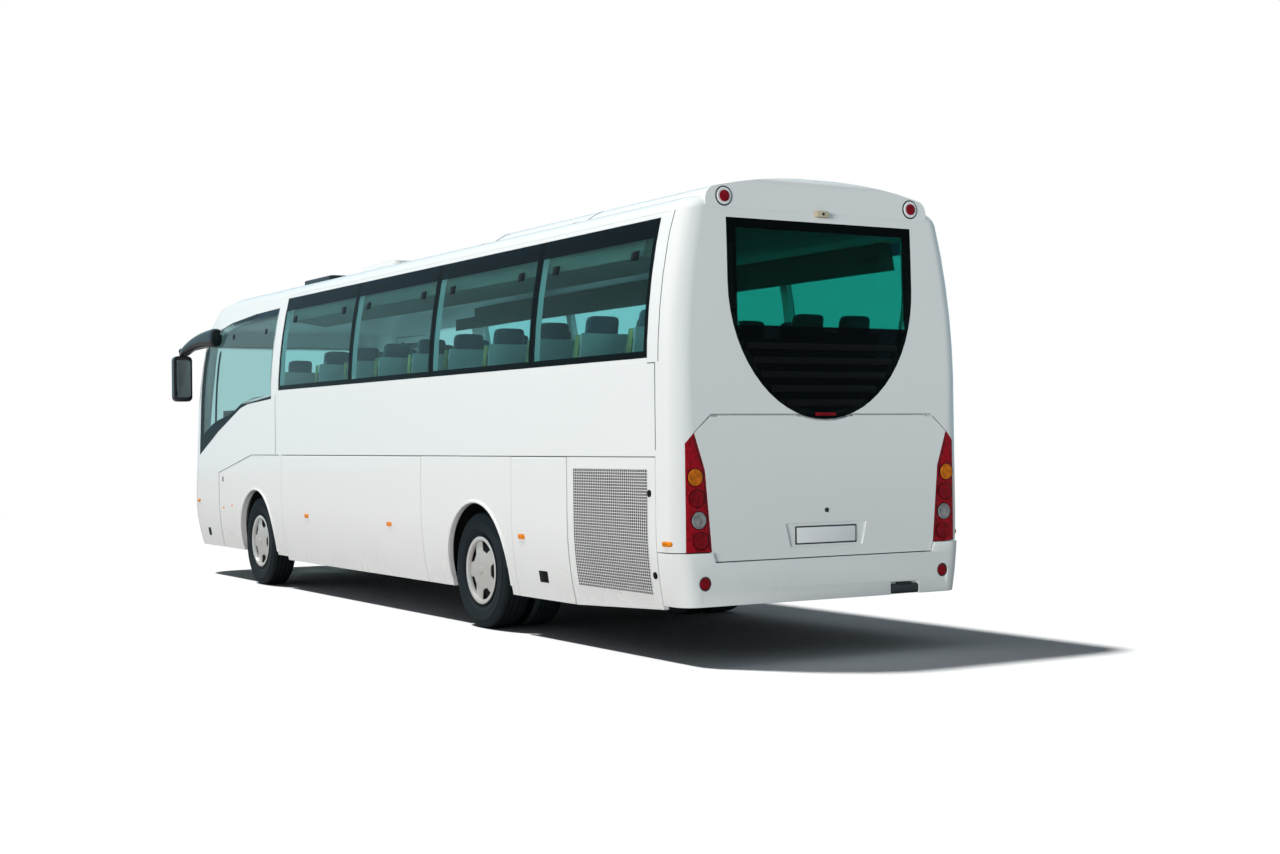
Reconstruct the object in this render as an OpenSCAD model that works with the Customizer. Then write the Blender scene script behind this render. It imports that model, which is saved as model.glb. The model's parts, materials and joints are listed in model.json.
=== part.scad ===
// Coach bus in its own frame: +X forward, +Y left, +Z up, ground at Z = 0.
// Values that end in _s are stations, measured forward from the rear face.

/* [Body] */
// Length of the body from the rear face to the nose
body_l = 11250; // [11100:10:11400]
// Width of the body at the waist
body_w = 2550; // [2500:5:2600]
// Height of the skirt's lower edge
skirt_z = 315; // [305:5:330]
// Height of the waist seam over the lower flaps
waist_z = 1430; // [1420:5:1440]
// Height of the windows' lower edge
belt_z = 2115; // [2080:5:2150]
// Height of the windows' upper edge
win_top_z = 3095; // [3070:5:3105]
// Height at which the wall meets the roof
cant_z = 3130; // [3120:5:3140]
// Thickness of walls and roof
wall_t = 55; // [50:1:60]
// Thickness of flaps and skirt panels
flap_t = 40; // [35:1:45]
// Seam round flaps and doors
seam = 6; // [6:0.5:8]
// How far the side tucks in at the skirt
tuck = 75; // [60:5:90]
// How far the side leans in at the roof
tumble = 140; // [120:5:150]
// Radius of the roof's shoulders
shoulder_r = 130; // [120:5:140]

/* [Front] */
// Radius of the front corners in plan
front_r = 400; // [350:10:440]
// Radius of the bowed front in plan
bow_r = 6400; // [6000:100:7000]
// Lean of the windscreen
rake_a = 12; // [11:0.5:13]
// Height of the windscreen's foot
screen_foot_z = 1400; // [1390:5:1410]
// Height at which the dome starts over the windscreen
dome_z = 2750; // [2740:5:2760]
// Radius of the dome
dome_r = 520; // [510:5:530]
// Station of the front cap's joint under the waist
cap_s = 7820; // [7810:5:7830]
// Station of the front cap's joint over the waist
pillar_s = 7930; // [7920:5:7940]
// Height of the skirt's edge at the front
front_skirt_z = 355; // [350:5:365]

/* [Rear] */
// Radius of the rear corners in plan
rear_r = 140; // [120:5:150]
// Station of the rear cap's joint
rear_joint_s = 250; // [240:5:260]
// Height of the seam over the rear bumper
bumper_z = 775; // [760:5:790]
// How far the bumper stands out
bumper_out = 20; // [15:1:30]
// Height of the engine door's upper edge
engine_door_z = 1712; // [1700:2:1724]
// Half width of the engine door at its upper edge
engine_door_w = 970; // [950:5:990]

/* [Wheels] */
// Distance between the axles
wheelbase = 5550; // [5500:10:5600]
// Station of the rear axle
rear_axle_s = 3130; // [3100:5:3160]
// Outer diameter of a tyre
tyre_d = 958; // [950:2:966]
// Width of a tyre
tyre_w = 275; // [270:1:280]
// Diameter of a wheel at the tyre's bead
rim_d = 571; // [560:1:580]
// Distance between the centres of twin tyres
twin_gap = 310; // [305:1:315]
// Distance of a tyre's outer face from the middle
tyre_face_y = 1232; // [1225:1:1238]
// Radius of the wheel arches
arch_r = 560; // [550:5:570]

/* [Windows and flaps] */
// Station of the first side pane's rear edge
pane_s = 353; // [345:1:365]
// Thickness of the glass
glass_t = 8; // [6:1:10]
// Gap between panes
pane_gap = 8; // [6:1:10]
// Station of the grille door's front edge
grille_end_s = 1530; // [1500:5:1560]
// Station of the service flap's front edge
service_end_s = 2450; // [2440:5:2460]
// Station of the luggage bay's rear end
bay_s = 4210; // [4200:5:4220]

/* [Doors] */
// Station of the front door's rear edge
door_s = 9470; // [9460:5:9490]
// Width of the front door
door_w = 900; // [880:5:920]
// Width of the middle door
mid_door_w = 820; // [800:5:830]
// Height of the doors' upper edge
door_top_z = 2870; // [2850:5:2890]

/* [Hidden] */
$fn = 64;

// Clearances and cuts
over = 20;
seat_gap = 0.3;
run_gap = 0.3;

// Shares of a corner's quarter that its facets take
arc_steps = 7;
side_steps = 5;

// Body section: tuck arc, straight side, tumble-home arc, shoulder and crown
half_w = body_w / 2;
tuck_z = 950;
tumble_z = 2000;
crown_a = 7;
crown_flat_a = 0.7;
tuck_r = (pow(tuck_z - skirt_z, 2) + tuck * tuck) / (2 * tuck);
tuck_a = asin((tuck_z - skirt_z) / tuck_r);
tumble_r = (pow(cant_z - tumble_z, 2) + tumble * tumble) / (2 * tumble);
tumble_a = asin((cant_z - tumble_z) / tumble_r);
shoulder_y = half_w - tumble - shoulder_r * cos(tumble_a);
shoulder_z = cant_z - shoulder_r * sin(tumble_a);
crown_edge_y = shoulder_y + shoulder_r * sin(crown_a);
crown_r = crown_edge_y / sin(crown_a);
crown_mid_z = shoulder_z + shoulder_r * cos(crown_a) - crown_r * cos(crown_a);
crown_z = crown_mid_z + crown_r;

// Front profile: tucked foot, upright nose, leaning screen, dome and brow
nose_z = 900;
front_tuck = 110;
brow_a = 8;
nose_r = (pow(nose_z - skirt_z, 2) + front_tuck * front_tuck) / (2 * front_tuck);
dome_mid_s = body_l - (dome_z - screen_foot_z) * tan(rake_a) - dome_r * cos(rake_a);
dome_mid_z = dome_z - dome_r * sin(rake_a);
brow_s = dome_mid_s + dome_r * sin(brow_a);
brow_z = dome_mid_z + dome_r * cos(brow_a);
brow_r = (crown_z - brow_z) / (1 - cos(brow_a));
brow_mid_s = brow_s - brow_r * sin(brow_a);
brow_mid_z = brow_z - brow_r * cos(brow_a);

// Rear profile: upright face that leans in above the engine door, rounded at the roof
lean_z = 1800;
lean = 30;
rear_top_r = 220;
rear_top_share = 0.92;
rear_top_z = crown_z - rear_top_r * rear_top_share;

// Mirrors
mirror_y = 1275;
mirror_s = 11400;
mirror_w = 230;
mirror_h = 560;
mirror_d = 90;
mirror_top_z = 2640;
mirror_root_r = 76;
mirror_arm_r = 30;
mirror_knob_r = 38;
mirror_root_s = 10330;
mirror_root_z = 2790;
mirror_in = 85;

// The origin is under the middle of the whole length, mirrors included
mid_s = (mirror_s + mirror_d / 2 - bumper_out) / 2;
function st(s) = s - mid_s;

front_axle_s = rear_axle_s + wheelbase;
axle_z = tyre_d / 2;
inner_y = half_w - wall_t;

// Points of an arc as [radius direction] pairs
function arc(mid, r, from, to, steps) =
    [for (i = [0 : steps]) let (a = from + (to - from) * i / steps) mid + r * [cos(a), sin(a)]];
function tail(list) = [for (i = [1 : len(list) - 1]) list[i]];
function flip(list) = [for (i = [len(list) - 1 : -1 : 0]) list[i]];
function mirrored(list) = [for (p = flip(list)) [-p[0], p[1]]];

// Left half of the body section as [y, z] from the skirt to the crown, set in by t
function half_section(t) = concat(
    arc([half_w - tuck_r, tuck_z], tuck_r - t, -tuck_a, 0, side_steps),
    arc([half_w - tumble_r, tumble_z], tumble_r - t, 0, tumble_a, side_steps),
    tail(arc([shoulder_y, shoulder_z], shoulder_r - t, tumble_a, 90 - crown_a, side_steps)),
    tail(arc([0, crown_mid_z], crown_r - t, 90 - crown_a, 90 - crown_flat_a, side_steps)));
// The same with a first point under the skirt, for cutting a shell open below
function open_section(t) = let (p = half_section(t)) concat([[p[0][0], skirt_z - over]], p);

module section(t) polygon(concat(half_section(t), mirrored(half_section(t))));
module open_core(t) polygon(concat(open_section(t), mirrored(open_section(t))));
module ring(t0, t1) {
    difference() {
        section(t0);
        open_core(t1);
    }
}
// Left wall between two insets and two heights
module wall_2d(t0, t1, z0, z1) {
    intersection() {
        ring(t0, t1);
        translate([0, z0]) square([body_w, z1 - z0]);
    }
}
module along_x(s0, s1) {
    translate([st(s0), 0, 0]) rotate([90, 0, 90]) linear_extrude(s1 - s0) children();
}
// Outline of [station, z], drawn across the body between two values of y
module along_y(y0, y1) {
    translate([st(0), y1, 0]) rotate([90, 0, 0]) linear_extrude(y1 - y0) children();
}
module block(s0, s1, y0, y1, z0, z1) {
    translate([st(s0), y0, z0]) cube([s1 - s0, y1 - y0, z1 - z0]);
}
module rod_y(s, z, r, y0, y1) {
    translate([st(s), y0, z]) rotate([-90, 0, 0]) cylinder(r = r, h = y1 - y0);
}
module rod_x(y, z, r, s0, s1) {
    translate([st(s0), y, z]) rotate([0, 90, 0]) cylinder(r = r, h = s1 - s0);
}
module right() {
    mirror([0, 1, 0]) children();
}
module both_sides() {
    children();
    right() children();
}
// Rod from p to q, both [station, y, z], tapered where its end has a radius of its own
module rod(p, q, r, end_r = 0) {
    d = q - p;
    flat = norm([d[0], d[1]]);
    translate([st(p[0]), p[1], p[2]]) rotate([0, atan2(flat, d[2]), atan2(d[1], d[0])])
        cylinder(r1 = r, r2 = end_r > 0 ? end_r : r, h = norm(d));
}
module rounded_2d(l, w, r) {
    union() {
        translate([r, 0]) square([l - 2 * r, w]);
        translate([0, r]) square([l, w - 2 * r]);
        for (x = [r, l - r], y = [r, w - r]) translate([x, y]) circle(r = r);
    }
}

// Front of the shell at height z, set in by t
function front_at(z, t) =
    z < nose_z ? body_l - nose_r + sqrt(pow(nose_r - t, 2) - pow(nose_z - z, 2)) :
    z < screen_foot_z ? body_l - t :
    let (slope = body_l - t / cos(rake_a) - (z - screen_foot_z) * tan(rake_a),
         dome = z < brow_mid_z + (brow_r - t) * cos(brow_a)
            ? dome_mid_s + sqrt(max(0, pow(dome_r - t, 2) - pow(z - dome_mid_z, 2)))
            : brow_mid_s + sqrt(max(0, pow(brow_r - t, 2) - pow(z - brow_mid_z, 2))))
    z < dome_mid_z + (dome_r - t) * sin(rake_a) ? min(slope, body_l - t) : dome;

// Plan outline [station, y] of the front at one height: left side, corner, bow, then its mirror
tongue_share = 0.85;
function front_half(w, f, r, start) =
    let (bow = bow_r, mid = f - bow + sqrt(pow(bow - r, 2) - pow(w - r, 2)),
         b = atan2(w - r, mid - f + bow))
    concat([[start, w]], arc([mid, w - r], r, 90, b, arc_steps),
        [for (k = [1 : 2]) [f - bow, 0] + bow * [cos(b * (1 - k / 3)), sin(b * (1 - k / 3))]]);
function front_ring(p, t, start) =
    let (half = front_half(p[0], front_at(p[1], t), min(front_r - t, p[0] * tongue_share), start))
    concat(half, [[front_at(p[1], t), 0]], [for (q = flip(half)) [q[0], -q[1]]]);

// Solid from rings of [station, y] points at the heights of a section list
module ring_solid(levels, rings) {
    m = len(rings[0]);
    n = len(rings);
    points = [for (i = [0 : n - 1]) for (q = rings[i]) [st(q[0]), q[1], levels[i][1]]];
    sides = [for (i = [0 : n - 2]) for (k = [0 : m - 1])
        let (j = (k + 1) % m) [i * m + k, i * m + j, (i + 1) * m + j, (i + 1) * m + k]];
    polyhedron(points, concat([[for (k = [m - 1 : -1 : 0]) k]], sides, [[for (k = [0 : m - 1]) (n - 1) * m + k]]));
}
module front_solid(t, start, levels) {
    ring_solid(levels, [for (p = levels) front_ring(p, t, start)]);
}
module front_shell(t0, t1) {
    difference() {
        front_solid(t0, cap_s, half_section(t0));
        front_solid(t1, cap_s - over, open_section(t1));
    }
}

// Rear of the shell at height z, set in by t
function rear_at(z, t) =
    let (face = t + (z > lean_z ? lean * (z - lean_z) / (rear_top_z - lean_z) : 0))
    z < rear_top_z ? face :
    lean + rear_top_r - sqrt(max(0, pow(rear_top_r - t, 2) - pow(z - rear_top_z, 2)));
function rear_half(w, b, r, start) = concat([[start, w]], arc([b + r, w - r], r, 90, 180, arc_steps));
function rear_ring(p, t, start, out) =
    let (half = rear_half(p[0], rear_at(p[1], t) - out, min(rear_r - t, p[0] * tongue_share), start))
    flip(concat(half, [for (q = flip(half)) [q[0], -q[1]]]));
module rear_solid(t, start, levels, out = 0) {
    ring_solid(levels, [for (p = levels) rear_ring(p, t, start, out)]);
}
module rear_shell(t0, t1, out = 0) {
    difference() {
        rear_solid(t0, rear_joint_s, half_section(t0), out);
        rear_solid(t1, rear_joint_s + over, open_section(t1), out);
    }
}

grille_s = rear_joint_s + seam / 2;

// Side windows
pane_shares = [0, 0.2298, 0.481, 0.7314, 1];
pane_lap = 45;
pillar_rim = 25;
pane_edges = [for (v = pane_shares) pane_s + v * (pillar_s - pillar_rim - pane_s)];
module pane_band() {
    along_x(pane_edges[0], pane_edges[4]) wall_2d(0, glass_t, belt_z, win_top_z);
}
module pane_openings() {
    for (i = [0 : 3])
        block(pane_edges[i] + pane_lap, pane_edges[i + 1] - pane_lap, 0, body_w,
            belt_z + pane_lap, win_top_z - pane_lap);
}
module side_wall() {
    difference() {
        along_x(rear_joint_s, pillar_s) wall_2d(0, wall_t, waist_z, cant_z);
        pane_band();
        pane_openings();
    }
}
module panes() {
    for (i = [0 : 3])
        along_x(pane_edges[i] + (i > 0 ? pane_gap / 2 : seat_gap),
            pane_edges[i + 1] - (i < 3 ? pane_gap / 2 : seat_gap))
            wall_2d(0, glass_t - seat_gap, belt_z + seat_gap, win_top_z - seat_gap);
}

// Cab windows, as [station, z] with stations from the pillar and shares of the glass height
cab_pillar = 200;
cab_back = 560;
cab_s = pillar_s + cab_pillar;
cab_foot_s = body_l - cab_back;
cab_l = cab_foot_s - cab_s;
cab_z = 2030;
cab_h = 980;
cab_low_shares = [[0, 0], [0.30, -0.04], [0.40, -0.08], [0.71, -0.335], [1, -0.62]];
cab_high_shares = [[0.95, 0.62], [0.90, 0.72], [0.79, 0.87], [0.62, 0.935], [0.30, 0.985], [0, 1]];
module cab_outline() {
    polygon([for (v = concat(cab_low_shares, cab_high_shares)) [cab_s + v[0] * cab_l, cab_z + v[1] * cab_h]]);
}
module cab_inner_outline() {
    offset(delta = -pane_lap) cab_outline();
}
right_pane_rim = 70;
right_pane_end_s = door_s - right_pane_rim;
module right_cab_outline() {
    intersection() {
        cab_outline();
        translate([cab_s, 0]) square([right_pane_end_s - cab_s, crown_z]);
    }
}
module right_cab_inner_outline() {
    translate([cab_s + pane_lap, cab_z])
        square([right_pane_end_s - cab_s - 2 * pane_lap, cab_h * cab_high_shares[3][1] - pane_lap]);
}

// Windscreen, drawn from the front as [y, z]
screen_w = 1120;
screen_top_w = 1060;
screen_top_z = 2800;
screen_lap = 60;
screen_depth = 1000;
screen_back_s = body_l - screen_depth;
module screen_outline(d) {
    polygon([[-screen_w + d, screen_foot_z + d], [screen_w - d, screen_foot_z + d],
        [screen_top_w - d, screen_top_z - d], [-screen_top_w + d, screen_top_z - d]]);
}
module screen_zone(d) {
    along_x(screen_back_s, body_l + over) screen_outline(d);
}

// Headlamps, drawn from the front
headlamp_y = 830;
headlamp_w = 330;
headlamp_z = 640;
headlamp_h = 170;
headlamp_t = 40;
headlamp_r = 60;
module headlamp_zone() {
    both_sides() along_x(screen_back_s, body_l + over)
        translate([headlamp_y, headlamp_z]) rounded_2d(headlamp_w, headlamp_h, headlamp_r);
}

// Hatches
hatch_w = 760;
hatch_wall = 45;
hatch_rise = 55;
hatch_drop = 130;
hatch_top_z = crown_z + hatch_rise;
hatch_foot_z = crown_z - hatch_drop;
lid_t = 85;
lid_over = 60;
lid_r = 60;
hatch_front_s = 8560;
hatch_rear_s = 6780;
module hatch_hole(s) {
    block(s - seat_gap, s + hatch_w + seat_gap, -hatch_w / 2 - seat_gap, hatch_w / 2 + seat_gap,
        hatch_foot_z - over, crown_z + over);
}
module coaming(s) {
    difference() {
        block(s, s + hatch_w, -hatch_w / 2, hatch_w / 2, hatch_foot_z, hatch_top_z);
        block(s + hatch_wall, s + hatch_w - hatch_wall, -hatch_w / 2 + hatch_wall, hatch_w / 2 - hatch_wall,
            hatch_foot_z - over, hatch_top_z + over);
    }
}
hinge_r = 12;
module hatch_lid(s) {
    l = hatch_w + 2 * lid_over;
    translate([st(s - lid_over), -l / 2, hatch_top_z + seat_gap]) linear_extrude(lid_t) rounded_2d(l, l, lid_r);
}

// Floor and steps
floor_t = 70;
floor_z = waist_z;
floor_y = half_w - flap_t - seat_gap;
floor_back = 620;
floor_end_s = body_l - floor_back;
floor_start_s = rear_joint_s;
step_in_y = 230;
step_out_y = 1165;
step_z = 400;
step_t = 40;
step_count = 4;
stair_wall = 30;
bulkhead_t = 40;
mid_door_s = bay_s + bulkhead_t;
mid_door_drop = 60;
mid_top_z = belt_z - mid_door_drop;
module stairwell(s0, s1, d) {
    right() block(s0 + d, s1 - d, step_in_y, body_w, skirt_z - over, floor_z + over);
}
module stair(s0, s1) {
    rise = (floor_z - step_z) / step_count;
    tread = (step_out_y - step_in_y) / step_count;
    right() {
        for (i = [0 : step_count - 1]) {
            block(s0, s1, step_out_y - (i + 1) * tread, step_out_y - i * tread,
                step_z + i * rise - step_t, step_z + i * rise);
            block(s0, s1, step_out_y - (i + 1) * tread, step_out_y - (i + 1) * tread + step_t,
                step_z + i * rise - step_t, step_z + (i + 1) * rise);
        }
        for (s = [s0, s1 - stair_wall])
            block(s, s + stair_wall, step_in_y, step_out_y, step_z - step_t, floor_z - floor_t);
    }
}

// Chassis
rail_y = 420;
rail_w = 90;
rail_z = 700;
rail_h = 200;
rail_start_s = 350;
rail_back = 420;
rail_end_s = body_l - rail_back;
post_w = 90;
module rail_pair(s0, s1) {
    both_sides() block(s0, s1, rail_y - rail_w / 2, rail_y + rail_w / 2, rail_z, rail_z + rail_h);
}
module rail_posts(s) {
    both_sides() block(s, s + post_w, rail_y - rail_w / 2, rail_y + rail_w / 2, rail_z, floor_z - floor_t);
}
module cross_member(s) {
    block(s, s + post_w, -rail_y, rail_y, rail_z + rail_h / 4, rail_z + rail_h * 3 / 4);
}
post_inset = 60;
bracket_h = 100;
module bumper_brackets() {
    both_sides() {
        block(wall_t - bumper_out, rail_start_s + post_w, rail_y - rail_w / 2, rail_y + rail_w / 2,
            rail_z - bracket_h, rail_z - over);
        block(rail_start_s, rail_start_s + post_w, rail_y - rail_w / 2, rail_y + rail_w / 2, rail_z - bracket_h, rail_z);
    }
}
eye_l = 150;
eye_w = 120;
eye_h = 80;
eye_r = 20;
module towing_eye() {
    mid_z = rail_z + rail_h / 2;
    difference() {
        block(rail_end_s, rail_end_s + eye_l, -eye_w / 2, eye_w / 2, mid_z - eye_h / 2, mid_z + eye_h / 2);
        translate([st(rail_end_s + eye_l - eye_w / 2), 0, mid_z - eye_h]) cylinder(r = eye_r, h = 2 * eye_h);
    }
}
module chassis() {
    color("dimgray") {
        union() {
            rail_pair(rail_start_s, bay_s);
            bumper_brackets();
            rail_posts(rail_start_s);
            rail_posts(bay_s - post_w - post_inset);
            cross_member(rail_start_s);
            cross_member(service_end_s + post_w);
            cross_member(bay_s - post_w - post_inset);
        }
        union() {
            rail_pair(cap_s, rail_end_s);
            rail_posts(cap_s + post_inset);
            rail_posts(door_s - post_w * 2);
            cross_member(cap_s + post_inset);
            cross_member(door_s - post_w * 2);
            cross_member(rail_end_s - post_w);
            towing_eye();
        }
    }
}

// Axles
king_y = 865;
king_r = 25;
boss_r = 60;
boss_h = 150;
beam_w = 110;
beam_h = 100;
bellow_r = 105;
module bellows(s) {
    both_sides() translate([st(s), rail_y, axle_z]) cylinder(r = bellow_r, h = rail_z - axle_z);
}
module front_axle() {
    color("dimgray") difference() {
        union() {
            block(front_axle_s - beam_w / 2, front_axle_s + beam_w / 2, -king_y, king_y,
                axle_z - beam_h / 2, axle_z + beam_h / 2);
            both_sides() translate([st(front_axle_s), king_y, axle_z - boss_h / 2]) cylinder(r = boss_r, h = boss_h);
            bellows(front_axle_s);
        }
        both_sides() translate([st(front_axle_s), king_y, axle_z - boss_h]) cylinder(r = king_r + run_gap, h = 2 * boss_h);
    }
}
spindle_r = 45;
tube_r = 90;
diff_r = 220;
hub_in_y = 560;
module rear_axle() {
    color("dimgray") union() {
        rod_y(rear_axle_s, axle_z, tube_r, -hub_in_y, hub_in_y);
        translate([st(rear_axle_s), 0, axle_z]) sphere(r = diff_r);
        rod_y(rear_axle_s, axle_z, spindle_r, -spindle_end_y, spindle_end_y);
        bellows(rear_axle_s);
    }
}
fork_t = 30;
fork_gap = 1;
fork_l = 60;
spindle_past = 20;
spindle_end_y = tyre_face_y - tyre_w / 2 + spindle_past;
module knuckle() {
    web_y = king_y + boss_r + fork_gap;
    translate([st(front_axle_s), 0, axle_z]) {
        translate([0, king_y, -boss_h / 2 - fork_t - fork_gap])
            cylinder(r = king_r, h = boss_h + 2 * fork_t + 2 * fork_gap);
        for (z = [-boss_h / 2 - fork_gap - fork_t, boss_h / 2 + fork_gap])
            translate([-fork_l, king_y - king_r, z]) cube([2 * fork_l, web_y + fork_t - king_y + king_r, fork_t]);
        translate([-fork_l, web_y, -boss_h / 2 - fork_gap - fork_t])
            cube([2 * fork_l, fork_t, boss_h + 2 * fork_t + 2 * fork_gap]);
    }
    rod_y(front_axle_s, axle_z, spindle_r, web_y, spindle_end_y);
}
module knuckle_left() color("gray") knuckle();
module knuckle_right() color("gray") right() knuckle();

// Tyre and wheel profiles, [radius, y] from the tyre's middle
bead_w = 215;
shoulder_drop = 22;
tread_share = 0.84;
sidewall_share = 0.45;
module tyre_at(s, y) {
    h = (tyre_d - rim_d) / 2;
    translate([st(s), y, axle_z]) rotate([90, 0, 0]) rotate_extrude($fn = 96) polygon([
        [rim_d / 2, -bead_w / 2], [rim_d / 2 + flange_h, -bead_w / 2], [rim_d / 2 + h * sidewall_share, -tyre_w / 2],
        [tyre_d / 2 - shoulder_drop, -tyre_w / 2 * tread_share - shoulder_drop / 2],
        [tyre_d / 2, -tyre_w / 2 * tread_share + shoulder_drop / 2],
        [tyre_d / 2, tyre_w / 2 * tread_share - shoulder_drop / 2],
        [tyre_d / 2 - shoulder_drop, tyre_w / 2 * tread_share + shoulder_drop / 2],
        [rim_d / 2 + h * sidewall_share, tyre_w / 2], [rim_d / 2 + flange_h, bead_w / 2], [rim_d / 2, bead_w / 2]]);
}
rim_t = 14;
flange_h = 14;
disc_t = 16;
hub_r = 130;
hub_len = 170;
trim_in = 40;
trim_dome = 45;
window_count = 5;
window_r = 195;
window_l = 110;
window_h = 55;
// Wheel with its outer face towards +Y: rim, trim disc with windows, hub with its bore
module wheel_at(s, y) {
    face = bead_w / 2;
    translate([st(s), y, axle_z]) rotate([-90, 0, 0]) difference() {
        union() {
            rotate_extrude($fn = 96) polygon([
                [rim_d / 2 - rim_t, -face], [rim_d / 2, -face], [rim_d / 2, face],
                [rim_d / 2 + flange_h, face], [rim_d / 2 + flange_h, face + rim_t],
                [rim_d / 2 - rim_t, face + rim_t]]);
            rotate_extrude($fn = 96) polygon([
                [0, face - trim_in + trim_dome - disc_t], [hub_r, face - trim_in + trim_dome - disc_t],
                [rim_d / 2 - rim_t, face - trim_in - disc_t], [rim_d / 2 - rim_t, face - trim_in],
                [hub_r, face - trim_in + trim_dome], [0, face - trim_in + trim_dome]]);
            translate([0, 0, -hub_len / 2]) cylinder(r = hub_r, h = hub_len / 2 + face - trim_in + trim_dome - disc_t);
        }
        translate([0, 0, -hub_len]) cylinder(r = spindle_r + run_gap, h = hub_len + bore_end);
        for (i = [0 : window_count - 1])
            rotate([0, 0, i * 360 / window_count]) translate([window_r, -window_l / 2, 0]) cube([window_h, window_l, tyre_w]);
    }
}
bore_end = spindle_past + fork_gap;
front_wheel_y = tyre_face_y - tyre_w / 2;
twin_y = front_wheel_y - twin_gap;
module inner_wheel_at(s, y) {
    translate([st(s), y, axle_z]) rotate([-90, 0, 0]) rotate_extrude($fn = 96) polygon([
        [rim_d / 2 - rim_t, -bead_w / 2], [rim_d / 2, -bead_w / 2], [rim_d / 2, bead_w / 2],
        [rim_d / 2, twin_gap - bead_w / 2], [rim_d / 2 - rim_t, twin_gap - bead_w / 2]]);
}
module tyre_front_left() color("#222222") tyre_at(front_axle_s, front_wheel_y);
module tyre_front_right() color("#222222") right() tyre_at(front_axle_s, front_wheel_y);
module wheel_front_left() color("silver") wheel_at(front_axle_s, front_wheel_y);
module wheel_front_right() color("silver") right() wheel_at(front_axle_s, front_wheel_y);
module twin_tyres() {
    tyre_at(rear_axle_s, front_wheel_y);
    tyre_at(rear_axle_s, twin_y);
}
module twin_wheels() {
    wheel_at(rear_axle_s, front_wheel_y);
    inner_wheel_at(rear_axle_s, twin_y);
}
module tyres_rear_left() color("#222222") twin_tyres();
module tyres_rear_right() color("#222222") right() twin_tyres();
module wheels_rear_left() color("silver") twin_wheels();
module wheels_rear_right() color("silver") right() twin_wheels();

// Engine with gearbox, on feet that stand on the rails
engine_l = 1250;
engine_s = 480;
engine_w = 720;
engine_z = 430;
engine_top_z = 1300;
gearbox_l = 650;
gearbox_w = 460;
gearbox_h = 430;
foot_l = 120;
foot_h = 60;
module engine() {
    color("slategray") union() {
        block(engine_s, engine_s + engine_l, -engine_w / 2, engine_w / 2, engine_z, engine_top_z);
        block(engine_s + engine_l, engine_s + engine_l + gearbox_l, -gearbox_w / 2, gearbox_w / 2,
            engine_z, engine_z + gearbox_h);
        for (s = [engine_s + foot_l, engine_s + engine_l - 2 * foot_l])
            block(s, s + foot_l, -rail_y - rail_w / 2, rail_y + rail_w / 2, rail_z + rail_h, rail_z + rail_h + foot_h);
    }
}
radiator_in = 110;
radiator_t = 170;
radiator_z = 500;
module radiator() {
    color("#303030") block(grille_s + radiator_in, grille_end_s - radiator_in,
        half_w - tuck - flap_t - radiator_t, half_w - tuck - flap_t, radiator_z, floor_z - floor_t);
}

module floor_deck() {
    color("gray") difference() {
        union() {
            block(floor_start_s, cap_s, -floor_y, floor_y, floor_z - floor_t, floor_z);
            block(cap_s - over, floor_end_s, -inner_y, inner_y, floor_z - floor_t, floor_z);
        }
        stairwell(door_s, door_s + door_w, 0);
        stairwell(mid_door_s, mid_door_s + mid_door_w, 0);
    }
}
module steps() {
    color("gray") {
        difference() {
            stair(door_s, door_s + door_w);
            right() block(door_s - over, door_s + door_w + over, rail_y - rail_w / 2 - seat_gap,
                rail_y + rail_w / 2 + seat_gap, rail_z - seat_gap, rail_z + rail_h + seat_gap);
        }
        stair(mid_door_s, mid_door_s + mid_door_w);
    }
}

bay_z = 360;
bay_t = 40;
bay_y = 1165;
module luggage_bay() {
    color("darkgray") difference() {
        union() {
            block(bay_s, cap_s, -bay_y, bay_y, bay_z, bay_z + bay_t);
            block(bay_s, bay_s + bulkhead_t, -bay_y, bay_y, bay_z, floor_z - floor_t);
            block(cap_s - bulkhead_t, cap_s, -bay_y, bay_y, bay_z, floor_z - floor_t);
        }
        right() block(mid_door_s, mid_door_s + mid_door_w, step_in_y, body_w, bay_z - over, floor_z);
    }
}

// Housings over the wheels, hung from the floor
liner_t = 15;
liner_gap = 70;
liner_in_y = 540;
liner_out_y = 1160;
liner_foot_z = 430;
hanger_w = 60;
module housing(s) {
    r = arch_r + liner_gap;
    difference() {
        union() {
            rod_y(s, axle_z, r + liner_t, liner_in_y, liner_out_y);
            block(s - hanger_w / 2, s + hanger_w / 2, liner_in_y + hanger_w, liner_in_y + 2 * hanger_w, axle_z, floor_z - floor_t);
        }
        rod_y(s, axle_z, r, liner_in_y + liner_t, liner_out_y + over);
        rod_y(s, axle_z, diff_r, liner_in_y - over, liner_out_y);
        block(s - 2 * r, s + 2 * r, 0, body_w, -2 * r, liner_foot_z);
    }
}
module wheel_housings() {
    color("#333333") both_sides() {
        housing(front_axle_s);
        housing(rear_axle_s);
    }
}

module side_wall_left() color("white") side_wall();
module side_wall_right() {
    color("white") difference() {
        right() side_wall();
        door_hole(mid_door_s, mid_door_w, mid_top_z, 0);
    }
}

// Fixed skirt panel with its wheel arch, between two stations
module arch_cut(s) {
    rod_y(s, axle_z, arch_r, 0, body_w);
    block(s - arch_r, s + arch_r, 0, body_w, 0, axle_z);
}
module skirt_2d() wall_2d(0, flap_t, skirt_z, waist_z - seam);
module skirt_panel(end_s) {
    difference() {
        along_x(service_end_s + seam / 2, end_s) skirt_2d();
        arch_cut(rear_axle_s);
    }
}
module skirt_left() color("white") skirt_panel(bay_s - seam / 2);
module skirt_right() color("white") right() skirt_panel(mid_door_s - seam / 2);

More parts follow.
